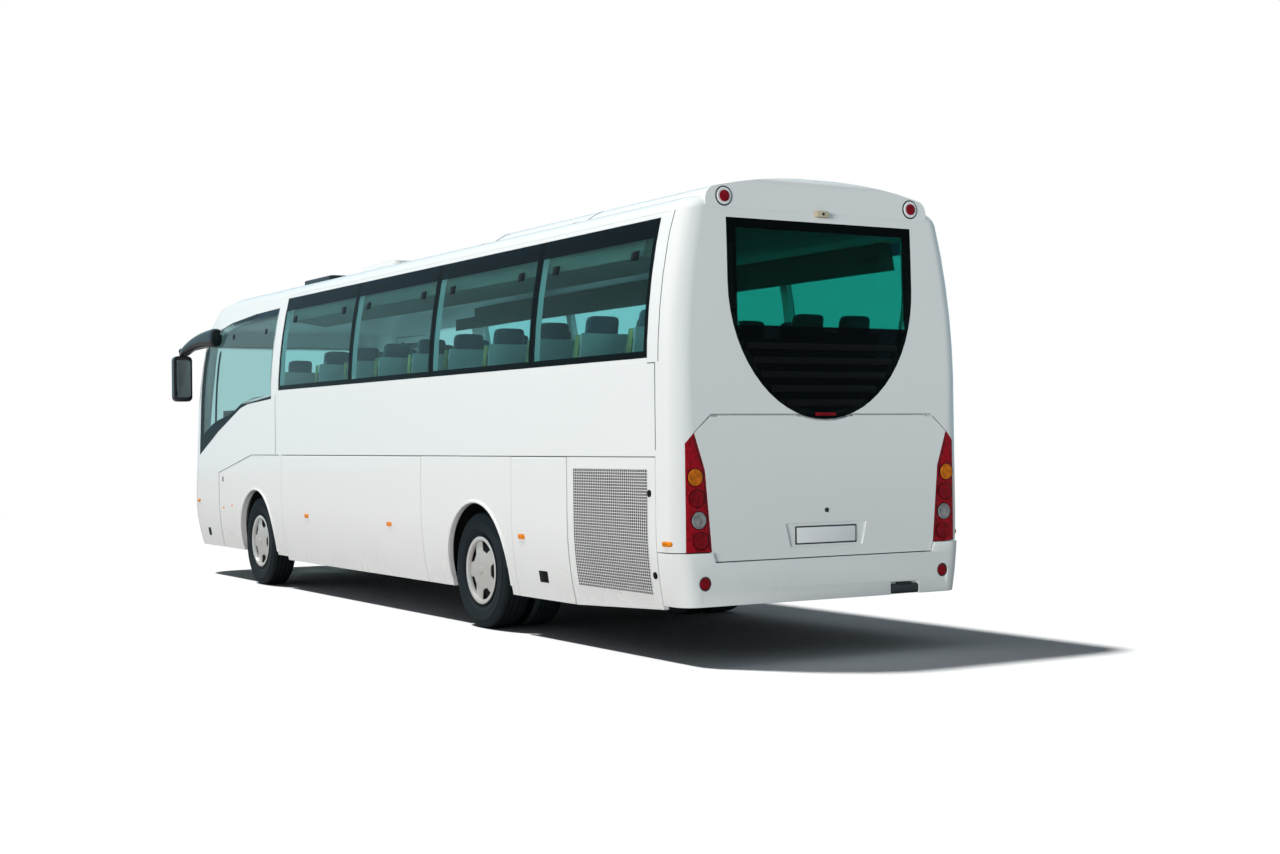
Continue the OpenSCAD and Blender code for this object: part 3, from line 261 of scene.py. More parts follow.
def makePlain(name, colour, rough, metal=0.0, scale=40.0, spread=0.25, grain=0.1, coat=0.0, bend=1.5):
    shade = Shade(name)
    place = shade.place()
    cloud = shade.noise(scale / 12, 3.0, place)
    fine = shade.noise(scale * 6, 2.0, place)
    darker = tuple(c * (1 - spread) for c in colour)
    lighter = tuple(min(1.0, c * (1 + spread)) for c in colour)
    tone = shade.mix(darker, lighter, cloud)
    return shade.dress(colour=tone, rough=rough - 0.06 + cloud * 0.12, metal=metal, coat=coat, bend=bend,
                       normal=shade.bump(fine, grain, 0.002))


glassLook = {"teal": (0.38, 0.70, 0.71), "navy": (0.012, 0.034, 0.062), "black": (0.003, 0.004, 0.005),
             "green": (0.014, 0.33, 0.25), "pale": (0.55, 0.74, 0.74), "bend": 1.14,
             "paneEdges": (0.353, 2.088, 3.986, 5.876, 7.905), "rim": 0.048, "endRim": 0.047,
             "cabSlope": 0.345, "cabFrom": (9.154, 1.952), "cabTip": (10.69, 1.422), "cabLean": 0.105,
             "divider": 10.03, "saloonEnd": 7.95, "cabStart": 8.0}


# tinted glass lets light through by its colour, so dark borders are dark colour
def finishGlass(shade, place, colour):
    shade.dress(colour=colour, rough=shade.noise(2.2, 3.0, place) * 0.02, bend=glassLook["bend"])
    shade.skin.inputs["Transmission Weight"].default_value = 1
    return shade.mat


def makeSideGlass():
    shade, place, x, y, z = newShade("sideGlass")
    ends = (glassLook["paneEdges"][0], glassLook["paneEdges"][-1])
    rims = None
    for edge in glassLook["paneEdges"]:
        wide = glassLook["endRim" if edge in ends else "rim"]
        band = (x - st(edge)).size().fall(wide - 0.004, wide)
        rims = band if rims is None else rims.most(band)
    saloon = x.fall(st(glassLook["saloonEnd"]), st(glassLook["saloonEnd"] + 0.001))
    header = z.rise(2.955, 2.96) * saloon
    sill = z.fall(2.160, 2.166) * saloon
    cab = x.rise(st(glassLook["cabStart"]), st(glassLook["cabStart"] + 0.01))
    brow = z.rise(2.86, 2.96) * cab
    run = x - st(glassLook["cabFrom"][0])
    above = (z + run * glassLook["cabSlope"]).most(z + run * 0.076) - glassLook["cabFrom"][1]
    foot = (above - x.rise(st(9.2), st(10.3)) * 0.16).fall(0.03, 0.035) * cab
    tipStation, tipZ = glassLook["cabTip"]
    pillar = (st(tipStation) - x - (z - tipZ) * glassLook["cabLean"]).fall(0.12, 0.126)
    post = (x - st(glassLook["divider"]) + (z - 2.2) * 0.08).size().fall(0.030, 0.034) * z.fall(2.60, 2.66)
    tone = shade.mix(glassLook["teal"], glassLook["pale"], cab)
    tone = shade.mix(tone, glassLook["navy"], header.most(brow))
    colour = shade.mix(tone, glassLook["black"], rims.most(sill).most(foot).most(pillar).most(post))
    return finishGlass(shade, place, colour)


def makeRearGlass():
    shade, place, x, y, z = newShade("rearGlass")
    clear = y.size().fall(0.735, 0.742) * z.rise(2.335, 2.342) * z.fall(3.012, 3.018)
    return finishGlass(shade, place, shade.mix(glassLook["black"], glassLook["green"], clear))


def makeScreenGlass():
    shade, place, x, y, z = newShade("screenGlass")
    sides = y.size().rise(1.02, 1.05) * x.rise(st(10.6), st(10.7))
    edge = z.fall(1.445, 1.46).most(z.rise(2.70, 2.74)).most(sides)
    return finishGlass(shade, place, shade.mix(glassLook["pale"], glassLook["black"], edge))


wheelPlan = {"front": st(8.68), "rear": st(3.13), "height": 0.479, "outer": 1.0945, "inner": 0.7845,
             "lobes": 5, "coverReach": 0.242, "coverNeck": 0.160, "coverFace": 0.1075, "capRadius": 0.034,
             "ringIn": 0.239, "ringOut": 0.277, "ringFace": 0.1215}


def makeTyre():
    shade, place, x, y, z = newShade("tyreRubber")
    dirt = shade.noise(9.0, 4.0, place)
    fine = shade.noise(260.0, 3.0, place)
    up = z - wheelPlan["height"]
    front = x - wheelPlan["front"]
    rear = x - wheelPlan["rear"]
    along = front.size().least(rear.size())
    reach = (along * along + up * up).calc("SQRT")
    turn = up.calc("ARCTAN2", along)
    tread = reach.rise(0.452, 0.458)
    sipes = (turn * 96.0 + (y * 90.0).wave() * 1.5).wave().rise(0.55, 0.8)
    rings = (reach * 420.0).wave() * reach.rise(0.31, 0.32) * reach.fall(0.34, 0.36)
    colour = shade.mix((0.004, 0.006, 0.007), (0.015, 0.020, 0.024), dirt * 0.7 + fine * 0.2)
    height = fine * 0.06 + rings * 0.35 - tread * sipes
    relief = shade.bump(height, 0.7, 0.004)
    return shade.dress(colour=colour, rough=0.62 + dirt * 0.22, bend=1.3, normal=relief)


lampLook = {"red": (0.34, 0.004, 0.012), "amber": (0.66, 0.17, 0.008), "clear": (0.27, 0.27, 0.28),
            "deep": (0.24, 0.003, 0.010), "rim": (0.045, 0.001, 0.003), "marker": (0.85, 0.26, 0.015)}


def makeLens(name, colour, ribs=260.0):
    shade, place, x, y, z = newShade(name)
    facets = (y * ribs).wave() * (z * ribs).wave()
    spots = shade.noise(30.0, 2.0, place)
    darker = tuple(c * 0.6 for c in colour)
    tone = shade.mix(darker, colour, spots.rise(0.3, 0.7))
    relief = shade.bump(facets, 0.16, 0.004)
    return shade.dress(colour=tone, rough=0.14 + spots * 0.06, bend=1.2, normal=relief)


def makeCloth():
    shade, place, x, y, z = newShade("seatCloth")
    weave = (x * 1400.0).wave() * (y * 1400.0).wave() + (z * 1400.0).wave() * 0.5
    patch = shade.node("ShaderNodeTexVoronoi", {}, {"Vector": place, "Scale": 26.0}, 0)
    tone = shade.noise(5.0, 3.0, place)
    base = shade.mix((0.020, 0.026, 0.040), (0.050, 0.060, 0.085), tone)
    colour = shade.mix(base, (0.15, 0.15, 0.07), patch.fall(0.10, 0.16) * 0.8)
    relief = shade.bump(weave, 0.35, 0.0015)
    return shade.dress(colour=colour, rough=0.86 + weave * 0.05, sheen=0.3, normal=relief)


def makeFins():
    shade, place, x, y, z = newShade("radiatorFins")
    fins = (z * 900.0).wave().size()
    tubes = (x * 300.0).wave().rise(0.6, 0.9)
    colour = shade.mix((0.012, 0.012, 0.013), (0.06, 0.06, 0.062), fins * 0.5 + tubes * 0.3)
    relief = shade.bump(fins + tubes, 0.5, 0.003)
    return shade.dress(colour=colour, rough=0.55 + tubes * 0.2, metal=0.6, normal=relief)


def makeDeck():
    shade = Shade("deckVinyl")
    place = shade.place()
    chips = shade.node("ShaderNodeTexVoronoi", {}, {"Vector": place, "Scale": 160.0}, 0)
    cloud = shade.noise(4.0, 4.0, place)
    colour = shade.mix((0.13, 0.14, 0.16), (0.28, 0.29, 0.31), chips.rise(0.2, 0.6) * 0.5 + cloud * 0.3)
    return shade.dress(colour=colour, rough=0.55 + cloud * 0.2, normal=shade.bump(chips, 0.15, 0.001))


paint = makePaint()
grillePaintWithShade = makePaint("grilleDoorPaintWithShade", True)
sideGlass = makeSideGlass()
rearGlass = makeRearGlass()
screenGlass = makeScreenGlass()
rubber = makeTyre()
lampRed = makeLens("lampRed", lampLook["red"], 200.0)
lensDeep = makeLens("lensDeep", lampLook["deep"], 700.0)
lensRim = makeLens("lensRim", lampLook["rim"], 700.0)
lensAmber = makeLens("lensAmber", lampLook["amber"], 500.0)
lensClear = makeLens("lensClear", lampLook["clear"], 600.0)
markerOrange = makeLens("markerOrange", lampLook["marker"], 420.0)
cloth = makeCloth()
fins = makeFins()
deck = makeDeck()
underPaint = makePlain("underPaint", (0.020, 0.020, 0.022), 0.62, 0.0, 30.0, 0.4, 0.25)
castMetal = makePlain("castMetal", (0.16, 0.16, 0.165), 0.55, 0.7, 60.0, 0.35, 0.5)
linerBlack = makePlain("linerBlack", (0.012, 0.012, 0.013), 0.80, 0.0, 50.0, 0.4, 0.5)
gloss = makePlain("glossBlack", (0.008, 0.008, 0.010), 0.16, 0.0, 40.0, 0.2, 0.03, 0.0, 1.4)
soot = makePlain("softBlack", (0.004, 0.004, 0.005), 0.35, 0.0, 40.0, 0.2, 0.03, 0.0, 1.15)
matt = makePlain("mattBlack", (0.022, 0.022, 0.024), 0.55, 0.0, 80.0, 0.2, 0.35)
greyTrim = makePlain("greyTrim", (0.33, 0.34, 0.35), 0.50, 0.0, 80.0, 0.08, 0.3)
rackGrey = makePlain("rackGrey", (0.105, 0.105, 0.085), 0.60, 0.0, 80.0, 0.1, 0.3)
silver = makePlain("wheelSilver", (0.44, 0.43, 0.405), 0.30, 0.2, 30.0, 0.05, 0.06, 0.3)
polished = makePlain("polishedRing", (0.56, 0.55, 0.53), 0.20, 0.35, 30.0, 0.04, 0.05)
steel = makePlain("brushedSteel", (0.45, 0.45, 0.46), 0.34, 0.9, 90.0, 0.1, 0.2)
mirrorFace = makePlain("mirrorFace", (0.16, 0.20, 0.21), 0.06, 1.0, 10.0, 0.03, 0.0)
plateWhite = makePlain("plateWhite", (0.72, 0.73, 0.74), 0.35, 0.0, 60.0, 0.04, 0.1, 0.2)
beige = makePlain("beigeHousing", (0.50, 0.43, 0.30), 0.45, 0.0, 60.0, 0.1, 0.2)
lime = makePlain("oliveTrim", (0.21, 0.19, 0.055), 0.55, 0.0, 60.0, 0.1, 0.2)
print("materials made")


# hand tools
def link(piece):
    bpy.context.scene.collection.objects.link(piece)


def named(name):
    piece = bpy.context.object
    piece.name = name
    return piece


def clear():
    bpy.ops.object.select_all(action="DESELECT")


def pickAll():
    bpy.ops.mesh.select_all(action="SELECT")


# insets the picked faces and moves them, which makes one step
def step(inset, shift):
    bpy.ops.mesh.inset(thickness=inset, depth=0)
    bpy.ops.transform.translate(value=shift)


def hold(piece):
    clear()
    piece.select_set(True)
    bpy.context.view_layer.objects.active = piece


def editOn(piece):
    hold(piece)
    bpy.ops.object.mode_set(mode="EDIT")
    bpy.ops.mesh.select_all(action="DESELECT")


def editOff():
    bpy.ops.object.mode_set(mode="OBJECT")


def pickFaces(piece, test):
    bpy.ops.mesh.select_mode(type="FACE")
    shape = bmesh.from_edit_mesh(piece.data)
    for face in shape.faces:
        face.select_set(bool(test(face.calc_center_median(), face.normal)))
    shape.select_flush_mode()
    bmesh.update_edit_mesh(piece.data)


def settle(piece):
    hold(piece)
    bpy.ops.object.transform_apply(location=True, rotation=True, scale=True)
    for mod in list(piece.modifiers):
        bpy.ops.object.modifier_apply(modifier=mod.name)


def soften(piece, width, segments=2, angle=40):
    mod = piece.modifiers.new("edges", "BEVEL")
    mod.width = width
    mod.segments = segments
    mod.limit_method = "ANGLE"
    mod.angle_limit = math.radians(angle)
    settle(piece)
    smooth(piece, angle)


def smooth(piece, angle=35):
    hold(piece)
    bpy.ops.object.shade_smooth_by_angle(angle=math.radians(angle))


def block(name, low, high, edge=0.004, segments=2):
    clear()
    low, high = Vector(low), Vector(high)
    bpy.ops.mesh.primitive_cube_add(size=1, location=(low + high) / 2)
    piece = named(name)
    piece.scale = high - low
    settle(piece)
    if edge:
        soften(piece, edge, segments)
    return piece


# round piece on an axis, with a stepped face: steps are (radius share, height) from the rim to the middle
def button(name, centre, axis, radius, depth, steps=(), sides=32, edge=0.002):
    clear()
    turn = Vector(axis).to_track_quat("Z", "Y").to_euler()
    middle = (0, 0, depth / 2)
    bpy.ops.mesh.primitive_cylinder_add(vertices=sides, radius=radius, depth=depth, location=middle)
    piece = named(name)
    settle(piece)
    editOn(piece)
    pickFaces(piece, lambda mid, normal: normal.z > 0.9)
    last = 1.0
    for share, lift in steps:
        step(radius * (last - share), (0, 0, lift))
        last = share
    editOff()
    if edge:
        soften(piece, edge, 2, 35)
    piece.rotation_euler = turn
    piece.location = centre
    settle(piece)
    return piece


# closed profile of (radius, across) turned round the Y axis, from an angle and over a turn in degrees
def turned(name, profile, centre, steps=64, start=90, turn=360):
    mesh = bpy.data.meshes.new(name)
    c, s = math.cos(math.radians(start)), math.sin(math.radians(start))
    x, y, z = centre
    points = [(x + radius * c, y + across, z + radius * s) for radius, across in profile]
    count = len(points)
    mesh.from_pydata(points, [(k, (k + 1) % count) for k in range(count)], [])
    piece = bpy.data.objects.new(name, mesh)
    link(piece)
    editOn(piece)
    pickAll()
    bpy.ops.mesh.spin(steps=steps, angle=math.radians(turn), center=centre, axis=(0, 1, 0))
    pickAll()
    if turn < 360:
        bpy.ops.mesh.edge_face_add()
        pickAll()
    bpy.ops.mesh.remove_doubles(threshold=0.00002)
    bpy.ops.mesh.normals_make_consistent(inside=False)
    editOff()
    return piece


def copyOf(piece, name, shift=(0, 0, 0), flip=False):
    twin = piece.copy()
    twin.data = piece.data.copy()
    twin.name = name
    link(twin)
    if flip:
        twin.data.transform(Matrix.Scale(-1, 4, (0, 1, 0)))
        twin.data.flip_normals()
    twin.data.transform(Matrix.Translation(shift))
    return twin


def joined(pieces, name):
    clear()
    for piece in pieces:
        piece.select_set(True)
    bpy.context.view_layer.objects.active = pieces[0]
    if len(pieces) > 1:
        bpy.ops.object.join()
    pieces[0].name = name
    return pieces[0]


# the piece mirrored to the right side, in place of the left one
def swapSide(piece, name):
    twin = copyOf(piece, name, flip=True)
    bpy.data.objects.remove(piece)
    return twin


def faceOut(piece):
    editOn(piece)
    pickAll()
    bpy.ops.mesh.normals_make_consistent(inside=False)
    editOff()


def facesRear(mid, normal):
    return normal.x < -0.9


def coat(piece, material):
    piece.data.materials.clear()
    piece.data.materials.append(material)
    return piece


# round part that faces the rear
def rearButton(name, spot, radius, depth, steps, material, sides=32, edge=0.001):
    return coat(button(name, spot, (-1, 0, 0), radius, depth, steps, sides, edge), material)


def finishPiece(piece, body, material=None):
    if material:
        coat(piece, material)
    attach(piece, body)


# body panels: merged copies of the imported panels, with rolled edges and smooth curves
panelEdges = {
    "side_wall_left": 0.003, "side_wall_right": 0.003, "skirt_left": 0.003, "skirt_right": 0.003,
    "roof": 0.003, "front_cap": 0, "rear_cap": 0, "rear_bumper": 0.004, "roof_pod": 0.012,
    "front_door": 0.003, "middle_door": 0.003, "luggage_flap_left": 0.003, "luggage_flap_right": 0.003,
    "service_flap_left": 0.003, "service_flap_right": 0.003, "grille_door_left": 0, "side_door_right": 0.003,
    "engine_door": 0.004, "hatch_rear": 0.015}


def panelCopy(node, edge, material, angle=30):
    source = nodes[node]
    piece = source.copy()
    piece.data = source.data.copy()
    piece.name = node + "_skin"
    for key in list(piece.keys()):
        if key.startswith("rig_"):
            del piece[key]
    piece.parent = None
    link(piece)
    piece.matrix_world = Matrix.Identity(4)
    editOn(piece)
    pickAll()
    bpy.ops.mesh.customdata_custom_splitnormals_clear()
    bpy.ops.mesh.remove_doubles(threshold=0.00002)
    if edge:
        bpy.ops.mesh.dissolve_limited(angle_limit=math.radians(0.3))
    editOff()
    if edge:
        soften(piece, edge, 2, 50)
    smooth(piece, angle)
    even = piece.modifiers.new("even", "WEIGHTED_NORMAL")
    even.keep_sharp = True
    settle(piece)
    finishPiece(piece, source["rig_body"], material)
    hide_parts(node)


makeCamera()
for node, edge in panelEdges.items():
    panelCopy(node, edge, grillePaintWithShade if node == "grille_door_left" else paint)
print("panels dressed", len(panelEdges))

glassMats = {"glass_left": sideGlass, "glass_right": sideGlass, "rear_window": rearGlass,
             "windscreen": screenGlass, "front_door_glass": screenGlass, "middle_door_glass": screenGlass}
for node, material in glassMats.items():
    panelCopy(node, 0, material)
panelCopy("tail_lamps", 0, lampRed)
panelCopy("headlamps", 0, lensClear)
panelCopy("hatch_front", 0.015, gloss)
panelCopy("mirrors", 0.006, gloss)
panelCopy("wipers", 0, matt)
panelCopy("dashboard", 0.02, matt)
panelCopy("steering_wheel", 0, matt)
panelCopy("luggage_racks", 0.006, rackGrey)
# the imported wheels behind the covers are coated near-black as painted shade, so the windows of the covers
# read as dark holes
packedMats = {"chassis": underPaint, "front_axle": underPaint, "rear_axle": underPaint,
              "knuckle_left": castMetal, "knuckle_right": castMetal, "engine": castMetal, "radiator": fins,
              "floor_deck": deck, "luggage_bay": deck, "steps": deck, "wheel_housings": linerBlack,
              "front_door_arms": steel, "middle_door_arms": steel, "wheel_front_left": soot,
              "wheel_front_right": soot, "wheels_rear_left": soot, "wheels_rear_right": soot}
for node, material in packedMats.items():
    coat(nodes[node], material)
print("packed parts dressed")


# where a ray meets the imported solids, so that small pieces sit on the real surface
def meshTree(names):
    points, faces = [], []
    for name in names:
        mesh = nodes[name].data
        start = len(points)
        points += [v.co.copy() for v in mesh.vertices]
        faces += [[start + k for k in f.vertices] for f in mesh.polygons]
    return BVHTree.FromPolygons(points, faces)


leftSkin = meshTree(["side_wall_left", "skirt_left", "luggage_flap_left", "service_flap_left",
                     "grille_door_left", "front_cap", "rear_cap", "glass_left", "roof", "roof_pod"])
rearSkin = meshTree(["rear_cap", "engine_door", "tail_lamps", "rear_window", "rear_bumper", "roof_pod"])
topSkin = meshTree(["roof", "roof_pod", "hatch_front", "hatch_rear", "front_cap"])


# a ray that falls into a seam tries again just beside it
def meet(tree, start, way, reach=0.012):
    shifts = ((0, 0, 0), (reach, 0, 0), (-reach, 0, 0), (0, 0, reach), (0, 0, -reach),
              (0, reach, 0), (0, -reach, 0))
    for shift in shifts:
        spot = tree.ray_cast(Vector(start) + Vector(shift), Vector(way))[0]
        if spot:
            return spot
    return meet(tree, start, way, reach * 2)


def sideY(station, z):
    return meet(leftSkin, (st(station), 3, z), (0, -1, 0)).y


def rearX(y, z):
    return meet(rearSkin, (-9, y, z), (1, 0, 0)).x


def topZ(station, y):
    return meet(topSkin, (st(station), y, 6), (0, 0, -1)).z


# narrow strip laid along a path on a surface: the path is (station, z) on the side or (y, z) on the rear
def ribbon(name, path, width, thick, rear=False, steps=10):
    count = (len(path) - 1) * steps
    clear()
    bpy.ops.mesh.primitive_grid_add(x_subdivisions=count, y_subdivisions=1, size=2, location=(0, 0, 0))
    piece = named(name)
    for point in piece.data.vertices:
        share = (point.co.x + 1) / 2 * (len(path) - 1)
        leg = min(int(share + 0.0001), len(path) - 2)
        part = share - leg
        (a0, b0), (a1, b1) = path[leg], path[leg + 1]
        run = math.hypot(a1 - a0, b1 - b0)
        a = a0 + (a1 - a0) * part - (b1 - b0) / run * width * point.co.y / 2
        b = b0 + (b1 - b0) * part + (a1 - a0) / run * width * point.co.y / 2
        point.co = (rearX(a, b) - thick * 0.6, a, b) if rear else (st(a), sideY(a, b) + thick * 0.6, b)
    faceOut(piece)
    mod = piece.modifiers.new("thick", "SOLIDIFY")
    mod.thickness = thick
    mod.offset = 0
    settle(piece)
    smooth(piece, 30)
    return piece


# tyres with ribs, bead and grooved tread, and wheel covers with five windows
tyreProfile = [(0.2856, -0.1075), (0.300, -0.112), (0.318, -0.126), (0.345, -0.1335), (0.372, -0.1370),
               (0.400, -0.1345), (0.4035, -0.1365), (0.410, -0.1365), (0.413, -0.1335), (0.437, -0.1275),
               (0.457, -0.1230), (0.472, -0.1130), (0.478, -0.1000), (0.4785, -0.0760), (0.466, -0.0740),
               (0.466, -0.0640), (0.4785, -0.0620), (0.479, -0.0330), (0.466, -0.0310), (0.466, -0.0210),
               (0.479, -0.0190)]


def makeTyreShape(name, x, y):
    mirrored = [(radius, -across) for radius, across in reversed(tyreProfile)]
    piece = turned(name, tyreProfile + mirrored, (x, y, wheelPlan["height"]), 72)
    smooth(piece, 40)
    return piece


def makeCover(name, x, y):
    clear()
    bpy.ops.mesh.primitive_cylinder_add(vertices=100, radius=1, depth=0.012, location=(0, 0, 0))
    plate = named(name)
    editOn(plate)
    pickFaces(plate, lambda mid, normal: normal.z > 0.9)
    for share, lift in ((0.10, 0.000), (0.22, 0.004), (0.25, 0.003)):
        step(share, (0, 0, lift))
    editOff()
    reach, neck = wheelPlan["coverReach"], wheelPlan["coverNeck"]
    for point in plate.data.vertices:
        turn = math.atan2(point.co.y, point.co.x)
        lobe = 0.5 + 0.5 * math.cos(wheelPlan["lobes"] * turn)
        push = 1 / (1 + math.exp(-14 * (lobe - 0.50)))
        share = math.hypot(point.co.x, point.co.y)
        radius = share * (neck + (reach - neck) * push * max(0.0, share - 0.4) / 0.6)
        lift = point.co.z - 0.010 * push * max(0.0, share - 0.7) / 0.3
        point.co = (radius * math.cos(turn), radius * math.sin(turn), lift)
    soften(plate, 0.003, 2, 40)
    hub = button(name + "_cap", (0, 0, 0.010), (0, 0, 1), wheelPlan["capRadius"], 0.006,
                 ((0.8, 0.002), (0.4, 0.001)), 32, 0.001)
    plate = joined([plate, hub], name)
    plate.rotation_euler = (-math.pi / 2, 0, 0)
    plate.location = (x, y + wheelPlan["coverFace"], wheelPlan["height"])
    settle(plate)
    coat(plate, silver)
    face = y + wheelPlan["ringFace"]
    inside, outside = wheelPlan["ringIn"], wheelPlan["ringOut"]
    profile = [(inside, face - 0.030), (inside + 0.004, face - 0.030), (inside + 0.012, face - 0.006),
               (outside - 0.004, face - 0.004), (outside, face - 0.002), (outside + 0.003, face + 0.002),
               (outside - 0.004, face + 0.006), (inside + 0.010, face + 0.001), (inside, face - 0.022)]
    ring = turned(name + "_ring", profile, (x, 0, wheelPlan["height"]), 80)
    smooth(ring, 50)
    coat(ring, polished)
    return joined([plate, ring], name)


for side, name in ((1, "left"), (-1, "right")):
    for end, plural in (("front", ""), ("rear", "s")):
        body, node = ("%s%s_%s_%s" % (word, plural, end, name) for word in ("wheel", "tyre"))
        shapes = [makeTyreShape(end + "Tyre", wheelPlan[end], side * wheelPlan["outer"])]
        if end == "rear":
            shapes.append(makeTyreShape("innerTyre", wheelPlan[end], side * wheelPlan["inner"]))
        tyre = joined(shapes, node + "_tread")
        finishPiece(tyre, body, rubber)
        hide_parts(node)
        cover = makeCover(end + "Cover_" + name, wheelPlan[end], wheelPlan["outer"])
        if side < 0:
            cover = swapSide(cover, end + "Cover_right")
        finishPiece(cover, body)
print("wheels made")


# seats: cushion, bolstered back and headrest, one seat modelled and copied along the rows
seatPlan = {"floor": 1.43, "rows": 9, "first": 0.90, "pitch": 0.79, "gapFrom": 3.79, "gapTo": 5.20,
            "width": 0.43, "outer": 0.905, "inner": 0.455, "driver": (9.25, 0.56), "lean": 0.21,
            "leanFrom": 0.40}


def softBlock(name, low, high, crown, axis, cuts=3):
    piece = block(name, low, high, 0)
    editOn(piece)
    pickAll()
    bpy.ops.mesh.subdivide(number_cuts=cuts)
    editOff()
    low, high = Vector(low), Vector(high)
    mid, half = (low + high) / 2, (high - low) / 2
    others = [k for k in range(3) if k != axis]
    for point in piece.data.vertices:
        share = 1.0
        for k in others:
            share *= max(0.0, 1 - ((point.co[k] - mid[k]) / half[k]) ** 2)
        if point.co[axis] > mid[axis]:
            point.co[axis] += crown * (share - 0.35)
    mod = piece.modifiers.new("round", "SUBSURF")
    mod.levels = 1
    mod.render_levels = 1
    settle(piece)
    smooth(piece, 60)
    return piece


def leanBack(part):
    for point in part.data.vertices:
        point.co.x -= (point.co.z - seatPlan["floor"] - seatPlan["leanFrom"]) * seatPlan["lean"]


def makeSeat(name, station, y):
    base = seatPlan["floor"]
    half = seatPlan["width"] / 2
    cushion = softBlock(name, (0.03, -half, base + 0.335), (0.47, half, base + 0.47), 0.03, 2)
    back = softBlock(name + "_back", (0.0, -half, base + 0.40), (0.11, half, base + 0.86), 0.035, 0)
    low, high = (0.0, -half * 0.62, base + 0.87), (0.09, half * 0.62, base + 1.065)
    head = softBlock(name + "_head", low, high, 0.025, 0, 2)
    shell = block(name + "_shell", (-0.030, -half + 0.01, base + 0.36), (0.0, half - 0.01, base + 0.93), 0.01)
    low, high = (-0.012, -half - 0.006, base + 0.42), (0.05, -half + 0.004, base + 0.92)
    rim = block(name + "_rim", low, high, 0.004)
    other = copyOf(rim, name + "_rimTwin", (0, 2 * half + 0.002, 0))
    foot = block(name + "_foot", (0.12, -0.13, base + 0.002), (0.36, 0.13, base + 0.34), 0.02)
    for part in (back, head, shell, rim, other):
        leanBack(part)
    parts = [cushion, back, head, shell, rim, other, foot]
    for part, material in zip(parts, (cloth, cloth, cloth, greyTrim, lime, lime, matt)):
        coat(part, material)
    seat = joined(parts, name)
    seat.data.transform(Matrix.Translation((st(station), y, 0)))
    return seat


def seatRows(side, node):
    first = makeSeat(node + "_pads", seatPlan["first"], side * seatPlan["outer"])
    made = [first]
    for row in range(seatPlan["rows"]):
        station = seatPlan["first"] + row * seatPlan["pitch"]
        if side < 0 and seatPlan["gapFrom"] < station < seatPlan["gapTo"]:
            continue
        for y in (seatPlan["outer"], seatPlan["inner"]):
            if row == 0 and y == seatPlan["outer"]:
                continue
            made.append(copyOf(first, "seat", (row * seatPlan["pitch"], side * (y - seatPlan["outer"]), 0)))
    rows = joined(made, node + "_pads")
    finishPiece(rows, "coach")
    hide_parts(node)


seatRows(1, "seats_left")
seatRows(-1, "seats_right")
driver = makeSeat("driver_seat_pads", *seatPlan["driver"])
finishPiece(driver, "coach")
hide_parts("driver_seat")
print("seats made")


# rear lamps: round lenses with stepped rings
lensPlan = {"radius": 0.058, "rows": ((1.287, 1.113, "amber"), (1.142, 1.100, "red"), (0.993, 1.086, "clear"),
                                      (0.852, 1.072, "red")), "rim": 1.10, "sides": 40,
            "steps": ((0.92, 0.0015), (0.74, 0.0012), (0.70, -0.001), (0.42, 0.0012), (0.15, 0.0006))}
lensMats = {"amber": lensAmber, "red": lensDeep, "clear": lensClear}


def makeLensRow(side):
    made = []
    radius, sides = lensPlan["radius"], lensPlan["sides"]
    for z, y, tone in lensPlan["rows"]:
        spot = (st(0.004), side * y, z)
        made.append(rearButton("lens", spot, radius, 0.010, lensPlan["steps"], lensMats[tone], sides))
        spot = (st(0.003), side * y, z)
        wide = radius * lensPlan["rim"]
        made.append(rearButton("lensRing", spot, wide, 0.006, ((0.95, 0.001),), lensRim, sides))
    return made


rearLenses = joined(makeLensRow(1) + makeLensRow(-1), "rearLenses")
finishPiece(rearLenses, "coach")


# small lamps, locks and vents on the sides and the rear
smallParts = {"markers": ((7.08, 0.806), (4.93, 0.800), (2.28, 0.796)),
              "dots": ((9.80, 0.817), (9.49, 0.849)), "sideVent": (1.975, 0.497),
              "doorLocks": ((0.335, 1.175), (0.300, 0.608)), "frontVent": (10.42, 0.52),
              "frontLock": (9.81, 1.147), "frontMarker": (10.73, 0.88)}
panelEnds = {"rearDoor": 1.53, "serviceFlap": 2.45, "flapFrom": 4.21, "flapTo": 7.82, "rightFlapFrom": 5.07}


# bevels the edges that run along an axis, so that a block's outline is round
def roundSides(piece, axis, corner):
    editOn(piece)
    bpy.ops.mesh.select_mode(type="EDGE")
    shape = bmesh.from_edit_mesh(piece.data)
    others = [k for k in range(3) if k != axis]
    for edge in shape.edges:
        a, b = (v.co for v in edge.verts)
        edge.select_set(all(abs(a[k] - b[k]) < 0.0005 for k in others))
    bmesh.update_edit_mesh(piece.data)
    bpy.ops.mesh.bevel(offset=corner, segments=6)
    editOff()


def wallBlock(name, station, z, length, height, out, material, edge=0.004, side=1, corner=0):
    y = sideY(station, z)
    lean = (sideY(station, z + 0.02) - sideY(station, z - 0.02)) / 0.04
    bow = (sideY(station + 0.02, z) - sideY(station - 0.02, z)) / 0.04
    low, high = (-length / 2, -0.010, -height / 2), (length / 2, out, height / 2)
    piece = block(name, low, high, 0 if corner else edge, 3)
    if corner:
        roundSides(piece, 1, corner)
        soften(piece, edge, 3)
    for point in piece.data.vertices:
        point.co.y += lean * point.co.z + bow * point.co.x
    piece.data.transform(Matrix.Translation((st(station), y, z)))
    if side < 0:
        piece = swapSide(piece, name + "_right")
    return coat(piece, material)


